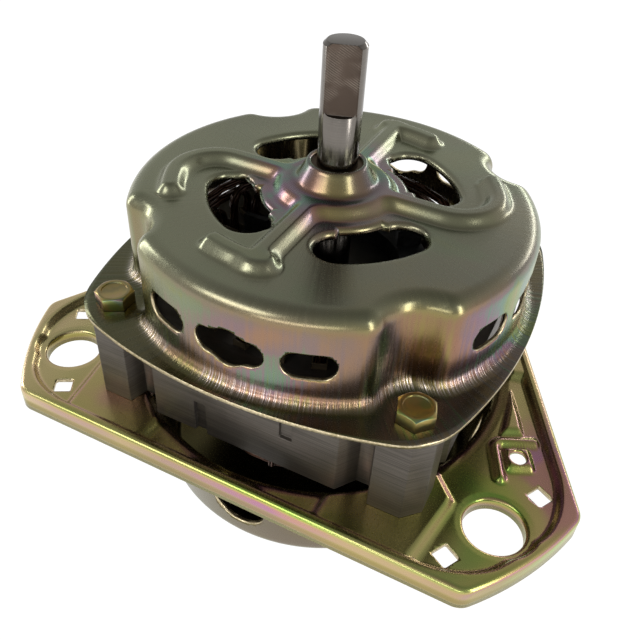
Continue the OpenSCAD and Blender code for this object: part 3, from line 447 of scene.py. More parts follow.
class Shades:
    """Builds the node tree of one material."""

    def __init__(self, name: str) -> None:
        """Starts an empty material with a surface shader.

        Args:
            name: Name of the material.
        """
        self.material = bpy.data.materials.new(name)
        self.material.use_nodes = True
        self.tree = self.material.node_tree
        self.surface = self.tree.nodes["Principled BSDF"]
        self.coords = self.tree.nodes.new("ShaderNodeTexCoord")

    def feed(self, target: Socket, value: object) -> None:
        """Links a socket to an input, or sets the input's own value.

        Args:
            target: The input.
            value: Socket, number, colour or vector.
        """
        if isinstance(value, Socket):
            self.tree.links.new(value, target)
        elif isinstance(value, (int, float)):
            target.default_value = float(value)
        else:
            target.default_value = (*value, 1.0) if len(target.default_value) == 4 else tuple(value)

    def node(self, kind: str, **values: object) -> bpy.types.Node:
        """Adds a node and feeds its inputs by name.

        Args:
            kind: Blender's name of the node, without its prefix.
            values: What each input is given.

        Returns:
            The new node.
        """
        node = self.tree.nodes.new("ShaderNode" + kind)
        for key, value in values.items():
            self.feed(node.inputs[key.replace("_", " ")], value)
        return node

    def noise(self, scale: Sequence[float] | float, detail: float = 3.0, distortion: float = 0.0,
              offset: Sequence[float] = (0, 0, 0)) -> Socket:
        """Noise on the piece's own place.

        Args:
            scale: Grains per metre, one number or one for each axis.
            detail: Octaves.
            distortion: How far the pattern is bent.
            offset: Shift of the pattern.

        Returns:
            The noise's value.
        """
        scales = (scale,) * 3 if isinstance(scale, (int, float)) else scale
        mapping = self.node("Mapping", Vector=self.coords.outputs["Object"], Scale=scales, Location=offset)
        texture = self.node("TexNoise", Vector=mapping.outputs["Vector"], Scale=1.0, Detail=detail,
                            Distortion=distortion)
        return texture.outputs["Fac"]

    def math(self, kind: str, a: object, b: object = 0.0) -> Socket:
        """Arithmetic on sockets or numbers.

        Args:
            kind: Blender's name of the operation.
            a: First socket or number.
            b: Second socket or number.

        Returns:
            The result.
        """
        node = self.node("Math")
        node.operation = kind
        for target, value in zip(node.inputs, (a, b)):
            self.feed(target, value)
        return node.outputs[0]

    def plus(self, a: object, b: object) -> Socket:
        """Sum of two sockets or numbers."""
        return self.math("ADD", a, b)

    def minus(self, a: object, b: object) -> Socket:
        """First socket or number less the second."""
        return self.math("SUBTRACT", a, b)

    def times(self, a: object, b: object) -> Socket:
        """Product of two sockets or numbers."""
        return self.math("MULTIPLY", a, b)

    def span(self, value: Socket, low: float, high: float, to_low: float = 0.0,
             to_high: float = 1.0) -> Socket:
        """Maps a range of a value to another, smoothly and clamped.

        Args:
            value: The value.
            low: Start of its range.
            high: End of its range.
            to_low: Result at the start.
            to_high: Result at the end.

        Returns:
            The result.
        """
        node = self.node("MapRange", Value=value, From_Min=low, From_Max=high, To_Min=to_low, To_Max=to_high)
        node.interpolation_type = "SMOOTHSTEP"
        return node.outputs["Result"]

    def ramp(self, value: Socket, stops: Sequence[tuple[float, Colour]]) -> Socket:
        """Colour along a value.

        Args:
            value: Position on the ramp.
            stops: Positions and colours.

        Returns:
            The colour.
        """
        node = self.node("ValToRGB", Fac=value)
        node.color_ramp.interpolation = "EASE"
        elements = node.color_ramp.elements
        while len(elements) < len(stops):
            elements.new(0.5)
        for element, (place, colour) in zip(elements, sorted(stops)):
            element.position = place
            element.color = (*colour, 1.0)
        return node.outputs["Color"]

    def mix(self, share: Socket | float, first: object, second: object,
            kind: str = "MIX") -> Socket:
        """Blends two colours.

        Args:
            share: How much of the second.
            first: Socket or colour.
            second: Socket or colour.
            kind: Blender's name of the blending.

        Returns:
            The blended colour.
        """
        node = self.node("Mix")
        node.data_type = "RGBA"
        node.blend_type = kind
        for spot, value in ((0, share), (6, first), (7, second)):
            self.feed(node.inputs[spot], value)
        return node.outputs[2]

    def shaded(self, colour: Socket, level: Socket) -> Socket:
        """Darkens a colour by a level from 0 to 1.

        Args:
            colour: The colour.
            level: How much of it stays.

        Returns:
            The darkened colour.
        """
        grey = self.node("CombineColor")
        for channel in grey.inputs[:3]:
            self.feed(channel, level)
        return self.mix(1.0, colour, grey.outputs[0], "MULTIPLY")

    def place(self) -> tuple[Socket, Socket, Socket]:
        """The three coordinates of the piece's own place, in metres."""
        node = self.node("SeparateXYZ", Vector=self.coords.outputs["Object"])
        return node.outputs[0], node.outputs[1], node.outputs[2]

    def turn(self) -> Socket:
        """Angle about the shaft axis, in radians."""
        x, y, _ = self.place()
        return self.math("ARCTAN2", y, x)

    def line_noise(self, value: Socket, scale: float, detail: float = 2.0) -> Socket:
        """Noise along one value.

        Args:
            value: Where on the line.
            scale: Grains for each unit of it.
            detail: Octaves.

        Returns:
            The noise's value.
        """
        texture = self.node("TexNoise", Scale=scale, Detail=detail)
        texture.noise_dimensions = "1D"
        self.feed(texture.inputs["W"], value)
        return texture.outputs["Fac"]

    def facing(self) -> Socket:
        """How edge-on the surface is seen, from 0 to 1."""
        return self.node("LayerWeight", Blend=0.5).outputs["Facing"]

    def radius(self) -> Socket:
        """Distance from the shaft axis, in metres."""
        x, y, _ = self.place()
        return self.math("SQRT", self.plus(self.times(x, x), self.times(y, y)))

    def bump(self, height: Socket, strength: float, distance: float,
             after: Socket | None = None) -> Socket:
        """Relief from a height.

        Args:
            height: The height field.
            strength: Share of the relief.
            distance: Full height, in metres.
            after: Normal that it is added to.

        Returns:
            The normal.
        """
        node = self.node("Bump", Strength=strength, Distance=distance, Height=height)
        if after is not None:
            self.feed(node.inputs["Normal"], after)
        return node.outputs["Normal"]

    def wear(self, **values: object) -> Material:
        """Sets the shader's inputs by name and returns the material."""
        for key, value in values.items():
            self.feed(self.surface.inputs[key.replace("_", " ")], value)
        return self.material


def scaled(colour: Colour, level: float) -> Colour:
    """A colour made lighter or darker."""
    return tuple(level * part for part in colour)


WHITE = (1.0, 1.0, 1.0)
OLIVE = (0.31, 0.27, 0.12)
GOLD = (0.62, 0.44, 0.13)
ROSE = (0.68, 0.26, 0.24)
VIOLET = (0.42, 0.20, 0.44)
TEAL = (0.16, 0.42, 0.38)
GREEN = (0.29, 0.48, 0.10)
RAINBOW: Ramp = ((0.0, OLIVE), (0.14, GOLD), (0.34, ROSE), (0.50, VIOLET), (0.62, TEAL), (0.74, GREEN),
                 (0.88, GOLD), (1.0, OLIVE))
MOSS = (0.33, 0.52, 0.10)
GILT: Ramp = ((0.0, MOSS), (0.14, (0.50, 0.54, 0.13)), (0.30, (0.62, 0.50, 0.19)), (0.44, (0.64, 0.34, 0.27)),
              (0.57, (0.56, 0.27, 0.38)), (0.70, (0.54, 0.38, 0.20)), (0.85, (0.46, 0.36, 0.16)), (1.0, MOSS))


class Sheet(Enum):
    """The pressed sheets, whose plating differs from place to place."""

    COVER = "cover"
    BASE = "base"


@dataclass(frozen=True)
class PlatedZinc:
    """Yellow-passivated zinc, whose thin film shows rainbow tints."""

    name: str
    body: Colour
    tint_share: float
    film_scale: float = 34.0
    gloss: float = 0.27
    sheet: Sheet | None = None
    bands: float = 0.9
    start: float = 0.0
    film: Ramp = RAINBOW
    roof: Colour = (0.33, 0.34, 0.222)
    flange: Colour = (0.175, 0.182, 0.09)
    left: Colour = (0.98, 0.82, 0.44)
    skirt: Colour = (0.47, 0.39, 0.12)
    # Darker colour of the bowl below the plate: painted shade
    bowl: Colour = (0.27, 0.235, 0.11)
    roof_edge: Span = (0.058, 0.0628)
    wall_top: Span = (0.050, 0.058)
    flange_edge: Span = (0.0344, 0.0356)
    foot_low: Span = (0.0341, 0.0350)
    foot_high: Span = (0.0362, 0.0400)
    left_edge: Span = (-0.092, -0.045)
    skirt_edge: Span = (-0.0016, -0.0002)
    bowl_shade_edge: Span = (-0.012, -0.006)
    # Near-white pink of the painted highlight on the foot of the wall
    foot_highlight: Colour = (0.92, 0.80, 0.78)

    def mix(self) -> Material:
        """Builds the material."""
        s = Shades(self.name)
        _, _, z = s.place()
        drift = s.noise(self.film_scale, 2.5, 0.9)
        fine = s.noise(self.film_scale * 3.1, 3.0, 0.4, (3.0, 1.0, 2.0))
        phase = s.plus(s.times(drift, 1.1), s.times(fine, 0.22))
        phase = s.plus(phase, s.times(s.facing(), self.bands))
        if self.sheet is Sheet.COVER:
            sway = s.times(s.noise((9, 9, 30), 1.0), 0.02)
            streak = s.line_noise(s.plus(s.turn(), sway), 46.0, 3.0)
            phase = s.plus(phase, s.times(s.minus(streak, 0.5), s.span(z, 0.030, 0.058, 0.5, 0.12)))
        else:
            streak = s.noise((60, 900, 60), 2.0, 0.0, (7.0, 2.0, 0.0))
        film = s.ramp(s.math("FRACT", s.plus(phase, self.start)), self.film)
        patches = s.noise(self.film_scale * 0.8, 2.0, 0.5, (9.0, 4.0, 1.0))
        share = s.span(patches, 0.32, 0.62, 0.3, self.tint_share)
        body, share, painted_shade = self.places(s, share)
        # The plated colour is darkened here by painted shade
        colour = s.shaded(s.mix(share, body, film), painted_shade)
        cloud = s.noise(16, 3.0, 0.2, (2.0, 8.0, 5.0))
        colour = s.mix(0.55, colour, s.ramp(cloud, [(0.3, (0.62, 0.62, 0.62)), (0.7, WHITE)]), "MULTIPLY")
        grain = s.noise(2600, 2.0)
        rough = s.plus(s.times(grain, 0.10), self.gloss - 0.05)
        relief = s.bump(grain, 0.07, 0.00004)
        if self.sheet is Sheet.COVER:
            # Foot of the wall: scratch grooves in the relief, and a painted highlight in bright patches along them
            foot = s.times(s.span(z, *self.foot_low), s.span(z, *self.foot_high, 1.0, 0.0))
            scratch_and_highlight = s.line_noise(s.turn(), 150.0, 2.0)
            cut = s.times(s.span(scratch_and_highlight, 0.47, 0.62), foot)
            highlight_patches = s.times(cut, s.span(s.noise(34, 1.0), 0.4, 0.56))
            colour = s.mix(s.times(highlight_patches, 0.6), colour, self.foot_highlight)
            relief = s.bump(s.times(scratch_and_highlight, s.times(foot, -1.0)), 0.35, 0.0005, relief)
            wall = s.span(z, *self.wall_top, 1.0, 0.0)
            relief = s.bump(s.times(streak, wall), 0.2, 0.0003, relief)
            rough = s.plus(rough, s.times(s.minus(streak, 0.5), 0.12))
        else:
            relief = s.bump(streak, 0.06, 0.0001, relief)
        return s.wear(Base_Color=colour, Metallic=1.0, Roughness=rough, Normal=relief)

    def places(self, s: Shades, share: Socket) -> tuple[Colour | Socket, Socket, Socket]:
        """Changes the plating from place to place on a sheet, and darkens parts of it with painted shade.

        Args:
            s: The material's nodes.
            share: Share of the rainbow film.

        Returns:
            Colour below the film, share of the film and depth of painted shade.
        """
        x, y, z = s.place()
        body: Colour | Socket = self.body
        # Painted shade under the plate, on the base and the bolts: darker below the plate's level, and darker
        # still low in the bowl
        painted_shade = s.times(s.span(z, -0.0025, -0.0004, 0.78, 1.0), s.span(z, *self.bowl_shade_edge, 0.72, 1.0))
        if self.sheet is Sheet.COVER:
            radius = s.radius()
            ahead = s.minus(x, s.times(y, 0.4))
            low = s.times(s.span(z, 0.056, 0.0632, 1.0, 0.16), s.span(ahead, -0.03, 0.06, 0.16, 0.95))
            share = s.times(share, s.math("MAXIMUM", low, s.span(radius, 0.014, 0.034, 0.95, 0.0)))
            share = s.times(share, s.span(z, *self.flange_edge, 0.32, 1.0))
            body = s.mix(s.span(z, *self.roof_edge), body, self.roof)
            body = s.mix(s.span(z, *self.flange_edge, 1.0, 0.0), body, self.flange)
            # Painted shade on the cover: darker on the flange and on the hub round the shaft hole, and a little
            # darker elsewhere
            painted_shade = s.times(s.span(z, 0.0355, 0.0400, 0.72, 0.82), s.span(radius, 0.012, 0.016, 0.66, 1.0))
        elif self.sheet is Sheet.BASE:
            # The bowl zone darkens the colour with painted shade under the plate
            zones = ((x, self.left_edge, self.left, 0.22), (z, self.skirt_edge, self.skirt, 0.32),
                     (z, self.bowl_shade_edge, self.bowl, 0.5))
            for axis, edge, colour, kept in zones:
                zone = s.span(axis, *edge, 1.0, 0.0)
                body = s.mix(zone, body, colour)
                share = s.times(share, s.plus(s.times(zone, kept - 1.0), 1.0))
        return body, share, painted_shade


@dataclass(frozen=True)
class BrightCut:
    """Sheared edge of the plated sheet."""

    name: str = "sheared edge"

    def mix(self) -> Material:
        """Builds the material."""
        s = Shades(self.name)
        grain = s.noise(1500, 3.0)
        colour = s.ramp(grain, [(0.3, (0.42, 0.35, 0.20)), (0.7, (0.72, 0.62, 0.42))])
        return s.wear(Base_Color=colour, Metallic=1.0, Roughness=0.34, Normal=s.bump(grain, 0.3, 0.0001))


@dataclass(frozen=True)
class Laminated:
    """Edges of stacked electrical steel."""

    name: str
    tone: Colour
    pitch: float = 0.0005
    bottom: float = 0.0023

    def mix(self) -> Material:
        """Builds the material."""
        s = Shades(self.name)
        _, _, z = s.place()
        sheet = s.math("DIVIDE", s.minus(z, self.bottom), self.pitch)
        ridge = s.math("PINGPONG", sheet, 0.5)
        line = s.span(ridge, 0.0, 0.16)
        shade = s.noise((24, 24, 2600), 2.0)
        stain = s.noise(30, 3.0, 0.3)
        colour = s.ramp(shade, [(0.25, scaled(self.tone, 0.72)), (0.75, scaled(self.tone, 1.3))])
        stains = s.ramp(stain, [(0.35, (0.7, 0.68, 0.68)), (0.7, WHITE)])
        colour = s.mix(0.5, colour, stains, "MULTIPLY")
        colour = s.mix(s.times(s.minus(1.0, line), 0.35), colour, (0.05, 0.05, 0.05))
        relief = s.bump(line, 0.35, 0.00012)
        relief = s.bump(shade, 0.35, 0.00015, relief)
        rough = s.plus(s.times(shade, 0.16), 0.36)
        return s.wear(Base_Color=colour, Metallic=0.85, Roughness=rough, Normal=relief)


@dataclass(frozen=True)
class GroundSteel:
    """Ground round bar with fine rings, and cutter marks on its flat."""

    name: str
    tone: Colour = (0.185, 0.168, 0.150)
    flat_turn: float = -70.0
    flat_reach: float = 0.0041
    flat_low: float = 0.0876

    def mix(self) -> Material:
        """Builds the material."""
        s = Shades(self.name)
        x, y, z = s.place()
        c, n = math.cos(math.radians(self.flat_turn)), math.sin(math.radians(self.flat_turn))
        forward = s.plus(s.times(x, c), s.times(y, n))
        across = s.minus(s.times(y, c), s.times(x, n))
        on_flat = s.times(s.span(z, self.flat_low - 0.0002, self.flat_low + 0.0001),
                         s.times(s.span(forward, 0.0037, 0.0039),
                                s.span(forward, self.flat_reach, self.flat_reach + 0.00025, 1.0, 0.0)))
        slant = s.plus(s.times(z, 1500.0), s.times(across, 900.0))
        marks = s.math("PINGPONG", slant, 0.5)
        broken = s.span(s.noise((120, 120, 150), 2.0, 0.0, (0.3, 0.2, 0.9)), 0.40, 0.66)
        milled = s.times(s.times(marks, 2.0), broken)
        rings = s.noise((20, 20, 5200), 2.0)
        colour = s.ramp(rings, [(0.2, scaled(self.tone, 0.86)), (0.8, scaled(self.tone, 1.12))])
        dusky = s.mix(milled, (0.075, 0.056, 0.044), (0.19, 0.157, 0.13))
        colour = s.mix(on_flat, colour, dusky)
        relief = s.bump(rings, 0.10, 0.00004)
        relief = s.bump(s.times(milled, on_flat), 0.5, 0.00012, relief)
        rough = s.plus(s.times(on_flat, 0.18), s.plus(s.times(rings, 0.06), 0.15))
        return s.wear(Base_Color=colour, Metallic=1.0, Roughness=rough, Normal=relief)


@dataclass(frozen=True)
class Grained:
    """A plain engineering material with its own grain."""

    name: str
    dark: Colour
    light: Colour
    scale: float
    rough: float
    metal: float = 0.0
    relief: float = 0.2
    depth: float = 0.00008
    sheen: float = 0.0

    def mix(self) -> Material:
        """Builds the material."""
        s = Shades(self.name)
        grain = s.noise(self.scale, 4.0, 0.2)
        drift = s.noise(self.scale * 0.07, 2.0)
        colour = s.ramp(grain, [(0.3, self.dark), (0.7, self.light)])
        colour = s.mix(0.3, colour, s.ramp(drift, [(0.3, self.dark), (0.7, self.light)]))
        rough = s.plus(s.times(grain, 0.12), self.rough - 0.06)
        return s.wear(Base_Color=colour, Metallic=self.metal, Roughness=rough, Sheen_Weight=self.sheen,
                      Normal=s.bump(grain, self.relief, self.depth))


@dataclass(frozen=True)
class Enamel:
    """Varnished wire."""

    name: str
    tone: Colour

    def mix(self) -> Material:
        """Builds the material."""
        s = Shades(self.name)
        drift = s.noise(120, 3.0)
        colour = s.ramp(drift, [(0.3, scaled(self.tone, 0.6)), (0.7, self.tone)])
        drip = s.noise(420, 2.0)
        rough = s.span(drip, 0.3, 0.7, 0.26, 0.42)
        return s.wear(Base_Color=colour, Metallic=0.75, Roughness=rough, Coat_Weight=0.4, Coat_Roughness=0.2,
                      Normal=s.bump(drip, 0.2, 0.0001))


PLAIN = (
    ("spring steel", (0.04, 0.038, 0.036), (0.08, 0.077, 0.072), 900, 0.4, 1.0),
    # Cast aluminium darkened nearly to black: painted shade inside the covers
    ("die cast aluminium", (0.028, 0.028, 0.028), (0.06, 0.06, 0.06), 700, 0.55, 1.0, 0.4),
    # Bronze darkened: painted shade inside the hub
    ("sintered bronze", (0.07, 0.048, 0.028), (0.14, 0.10, 0.06), 2200, 0.5, 0.9, 0.5),
    ("oiled felt", (0.40, 0.36, 0.27), (0.64, 0.60, 0.5), 1600, 0.9, 0.0, 0.8, 0.0003, 0.4),
    ("nylon", (0.66, 0.62, 0.5), (0.78, 0.74, 0.63), 500, 0.45),
    ("black nylon", (0.02, 0.02, 0.02), (0.05, 0.05, 0.05), 700, 0.5),
    # Slot film darkened to dark brown: painted shade inside the stator
    ("varnished film", (0.05, 0.038, 0.022), (0.10, 0.075, 0.045), 260, 0.35),
    ("pressed fibre", (0.08, 0.055, 0.03), (0.15, 0.11, 0.06), 1100, 0.7),
)


class Finishes:
    """Every material of the motor, each made once."""

    def __init__(self) -> None:
        """Mixes them."""
        self.cover = PlatedZinc("cover zinc", (0.33, 0.29, 0.135), 0.66, 24.0, 0.26, Sheet.COVER,
                                bands=0.8, start=0.5).mix()
        self.base = PlatedZinc("base zinc", (0.56, 0.47, 0.21), 1.0, 18.0, 0.26, Sheet.BASE,
                               bands=1.2, start=0.31, film=GILT).mix()
        self.bolt = PlatedZinc("bolt zinc", (0.36, 0.30, 0.15), 0.6, 90.0, 0.32).mix()
        self.edge = BrightCut().mix()
        self.stack = Laminated("lamination edges", (0.132, 0.117, 0.101)).mix()
        # A darker copy of the lamination edges for the rotor: painted shade inside the stator
        self.rotor_stack_in_shade = Laminated("rotor lamination edges in painted shade", (0.06, 0.055, 0.05)).mix()
        self.shaft = GroundSteel("ground shaft").mix()
        self.spring, self.cast, self.bronze, self.felt, self.nylon, self.dark_nylon, self.film, self.fibre = (
            Grained(*values).mix() for values in PLAIN)
        # Copper enamel hues, darkened to paint the shade inside the covers
        self.shaded_main_wire = Enamel("main enamel in painted shade", (0.085, 0.032, 0.014)).mix()
        self.shaded_start_wire = Enamel("auxiliary enamel in painted shade", (0.07, 0.03, 0.015)).mix()


# Drive end cover


@dataclass
class DriveEndCover:
    """Drawn cover with raised arms, rolled windows, a fluted wall and a flange, in millimetres."""

    sheet: float = 1.2
    flange_top: float = 34.2
    roof: float = 63.2
    raised: float = 3.2
    wall_r: float = 61.0
    edge_r: float = 5.0
    foot_r: float = 4.0
    bolt_r: float = 66.963
    flute_r: float = 11.8
    shoulder_r: float = 6.5
    plateau_r: float = 16.0
    flank: float = 2.4
    arm_top: float = 3.8
    seam_share: float = 0.88
    flange_bow_r: float = 150.0
    flange_shift: float = 84.2
    flange_corner: float = 76.0
    long_ring: float = 47.8
    short_ring: float = 45.6
    bend_r: float = 12.5
    window_mid: float = 30.7
    window_half: float = 6.7
    window_span: float = 18.0
    window_roll: float = 1.7
    slot_level: float = 13.2
    slot_half: float = 4.2
    slot_blob: float = 6.05
    outer_slots: float = 20.4
    outer_half: float = 3.15
    notch_turn: float = 17.0
    notch_taper: float = 1.6
    notch_taper_r: float = 24.4
    notch_in: float = 22.3
    notch_out: float = 31.0
    flute_turn: float = 12.737
    flange_end: float = 75.0
    inner_r: float = 40.0
    hub: Spots = (
        (7.45, 70.6), (7.45, 71.9), (7.62, 72.35), (8.0, 72.6), (8.45, 72.55), (8.85, 72.2), (9.25, 71.4),
        (9.9, 70.15), (10.6, 68.95), (11.2, 67.85), (11.65, 67.15), (12.15, 66.72), (12.8, 66.46), (13.5, 66.4))
    steps: int = 560

    def outline(self) -> tuple[Array, Array]:
        """Wall outline of one full turn, evenly spaced, with its outward normals."""
        reach, gap = self.wall_r - self.shoulder_r, self.flute_r + self.shoulder_r
        bolt, own, far = self.bolt_r ** 2, reach ** 2, gap ** 2
        at_axis = math.degrees(math.acos((bolt + own - far) / (2 * self.bolt_r * reach)))
        at_bolt = math.degrees(math.acos((bolt + far - own) / (2 * self.bolt_r * gap)))
        quarter: list[Array] = []
        quarter += arc((0, 0), self.wall_r, -45 + at_axis, 45 - at_axis, 200)[:-1]
        quarter += arc(polar(reach, 45 - at_axis), self.shoulder_r, 45 - at_axis, 45 + at_bolt, 60)[:-1]
        quarter += arc(polar(self.bolt_r, 45), self.flute_r, 225 + at_bolt, 225 - at_bolt, 80)[:-1]
        quarter += arc(polar(reach, 45 + at_axis), self.shoulder_r, 45 - at_bolt, 45 + at_axis, 60)[:-1]
        points = np.vstack([turned(np.array(quarter), 90 * k) for k in range(4)])
        closed = np.vstack([points, points[:1]])
        way = np.concatenate([[0], np.cumsum(np.hypot(*np.diff(closed, axis=0).T))])
        spots = np.linspace(0.0, way[-1], self.steps * 8 + 1)[:-1]
        even = np.column_stack([np.interp(spots, way, closed[:, i]) for i in (0, 1)])
        ahead, behind = np.roll(even, -1, axis=0), np.roll(even, 1, axis=0)
        run = ahead - behind
        run /= np.hypot(*run.T)[:, None]
        return even, np.column_stack([run[:, 1], -run[:, 0]])

    def flange_reach(self, degrees: Array) -> Array:
        """Distance of the flange edge from the axis at each angle."""
        side = np.abs(sector_turn(degrees, 90, 0))
        bows = []
        for angle in (np.radians(side), np.radians(90 - side)):
            across = self.flange_shift * np.sin(angle)
            bows.append(np.sqrt(self.flange_bow_r ** 2 - across ** 2) - self.flange_shift * np.cos(angle))
        corner = np.full_like(bows[0], self.flange_corner)
        return np.minimum(soft_min(soft_min(*bows, 2.0), corner, 2.0), self.flange_corner - 0.1)

    def arms(self) -> list[Array]:
        """Middle lines of the four arms."""
        ring, bend_r, shift = self.long_ring, self.bend_r, 0.8
        bend_y = -shift - bend_r
        bend_x = -math.sqrt((ring - bend_r) ** 2 - bend_y ** 2)
        end = 180 + math.degrees(math.atan2(-bend_y, -bend_x))
        long_arm = np.vstack([[[0.0, -shift]], arc((bend_x, bend_y), bend_r, 90, end, 24),
                              arc((0, 0), ring, end, end + 11, 8)])
        short_arm = np.vstack([[[-shift, 0.0]], arc((0, 0), self.short_ring, -91, -108, 8)])
        heel = np.vstack([polar(self.short_ring, -90.8), polar(self.short_ring - 0.3, -87.6)])
        return [turned(line, turn) for line in (long_arm, short_arm, heel) for turn in (0, 180)]

    def relief(self, points: Array) -> Array:
        """Height of the pressed forms above the roof."""
        half = self.arm_top / 2 + self.flank
        radius = np.hypot(*points.T)
        level = radius - (self.plateau_r + self.flank)
        for line in self.arms():
            level = soft_min(level, line_distance(points, line) - half, 3.4)
        return self.raised * smooth_step((1.0 - level) / (self.flank + 2.1))

    def window(self, points: Array) -> Array:
        """Distance outside the four roof windows, negative inside them.

        Args:
            points: Places in plan.

        Returns:
            One distance a place.
        """
        radius, degrees = around(points)
        turn = sector_turn(degrees, 90, 45)
        beyond = np.radians(np.maximum(np.abs(turn) - self.window_span, 0))
        aside, ahead = radius * np.sin(beyond), radius * np.cos(beyond)
        body = np.hypot(aside, ahead - self.window_mid) - self.window_half
        notch_half = self.notch_turn - self.notch_taper * np.clip((self.notch_taper_r - radius) / 2.0, 0, 1)
        side = (np.abs(turn) - notch_half) * math.pi / 180 * radius
        step = np.maximum(side, np.maximum(self.notch_in - radius, radius - self.notch_out))
        return np.minimum(body, step)

    def side_window(self, places: Array) -> Array:
        """Distance outside the windows in the wall, negative inside them.

        Args:
            places: Places on the wall.

        Returns:
            One distance a place.
        """
        radius, degrees = around(places[:, :2])
        high = places[:, 2] - (self.flange_top + self.slot_level)
        turn = sector_turn(degrees, 90, 0)
        side = np.radians(turn) * self.wall_r
        middle = np.hypot(np.maximum(np.abs(side) - self.slot_blob, 0), high) - self.slot_half
        middle = soft_min(middle, np.hypot(side, high) - self.slot_blob, 1.2)
        lean = np.radians(np.abs(turn) - self.outer_slots) * self.wall_r
        outer = np.hypot(np.maximum(np.abs(lean) - self.outer_half, 0), high) - self.slot_half
        found = np.minimum(middle, outer)
        return np.where((radius > 50) & (np.abs(high) < OFF_WALL), found, OFF_WALL)

    def build(self, shop: Workshop, finishes: Finishes) -> None:
        """Makes roof and skirt.

        Args:
            shop: Workshop that delivers them.
            finishes: The motor's materials.
        """
        outline, normals = self.outline()
        count = len(outline)

        def lookup(degrees: Array) -> tuple[Array, Array]:
            """Outline point and normal at each share of the turn."""
            spot = ((degrees + 45 - self.flute_turn) % 360) / 360 * count
            low = np.floor(spot).astype(int) % count
            share = (spot - np.floor(spot))[:, None]
            high = (low + 1) % count
            point, normal = (rows[low] * (1 - share) + rows[high] * share for rows in (outline, normals))
            return point, normal

        inner_r = self.inner_r
        roof_r = self.wall_r - self.edge_r

        def flat(radius: Array, degrees: Array) -> Array:
            """Place in plan of a roof point."""
            base, normal = lookup(degrees)
            rim = base - normal * self.edge_r
            share = np.clip((radius - inner_r) / (roof_r - inner_r), 0, 1)[:, None]
            inner = rays(degrees) * np.minimum(radius, inner_r)[:, None]
            return np.where(radius[:, None] <= inner_r, inner, inner * (1 - share) + rim * share)

        def press_roof(places: Array) -> Array:
            """Presses hub, plateau and arms."""
            radius, degrees = around(places[:, :2])
            plan = flat(radius, degrees)
            return np.column_stack([plan, places[:, 2] + self.relief(plan)])

        profile = [(r, z - self.raised) for r, z in self.hub]
        seam = inner_r + (roof_r - inner_r) * self.seam_share
        profile += [(r, self.roof) for r in np.linspace(14.1, seam, 63)]
        roof = Skin.spun(profile, self.steps)
        roof.press(press_roof)
        roll = self.window_roll

        def rolled(places: Array) -> Array:
            """Field of the rolled windows on the roof."""
            return self.window(places[:, :2]) - roll

        edges = roof.pierce(rolled, 0.16)
        roof.roll_edge(edges, rolled, roll, 2.3)

        def on_seam(place: Vector) -> bool:
            """Tells the flat ring where roof and skirt meet."""
            return place.z > self.roof - 0.05 and place.xy.length > 44

        skins = [finishes.cover, finishes.edge]
        shop.pressed(roof, "cover_roof", self.sheet, skins, "drive_end_cover", on_seam)

        wall = [(seam, self.roof), (55.2, self.roof)]
        wall += [(roof_r + self.edge_r * math.sin(a), self.roof - self.edge_r * (1 - math.cos(a)))
                 for a in np.linspace(0, math.pi / 2, 11)]
        bottom = self.flange_top + self.foot_r
        wall += [(self.wall_r, z) for z in np.linspace(self.roof - self.edge_r, bottom, 20)[1:]]
        wall += [(self.wall_r + self.foot_r * (1 - math.cos(a)), bottom - self.foot_r * math.sin(a))
                 for a in np.linspace(0, math.pi / 2, 9)[1:]]
        foot_end, flange_end = self.wall_r + self.foot_r, self.flange_end
        wall += [(r, self.flange_top) for r in np.linspace(foot_end, flange_end, 9)[1:]]

        def press_wall(places: Array) -> Array:
            """Presses flutes and trims the flange.

            Args:
                places: The spun places.

            Returns:
                The pressed places.
            """
            radius, degrees = around(places[:, :2])
            base, normal = lookup(degrees)
            plan = base + normal * (radius - self.wall_r)[:, None]
            plan = np.where((radius < roof_r)[:, None], flat(radius, degrees), plan)
            foot = base + normal * self.foot_r
            reach = self.flange_reach(around(foot)[1])
            tip = foot / np.hypot(*foot.T)[:, None] * reach[:, None]
            share = np.clip((radius - foot_end) / (flange_end - foot_end), 0, 1)[:, None]
            plan = np.where((radius > foot_end)[:, None], foot * (1 - share) + tip * share, plan)
            return np.column_stack([plan, places[:, 2]])

        skirt = Skin.spun(wall, self.steps)
        skirt.press(press_wall)
        skirt.pierce(self.side_window, 0.12)
        skirt.pierce(bolt_hole, 0.12)
        shop.pressed(skirt, "cover_skirt", self.sheet, skins, "drive_end_cover", on_seam)


# Base


@dataclass(frozen=True)
class Pressing:
    """Height, foot and width of slope of one pressed form, in millimetres."""

    height: float
    foot: float
    slope: float

    def lift(self, away: Array) -> Array:
        """Height at each distance outside the form's outline."""
        return self.height * smooth_step((self.foot - away) / self.slope)


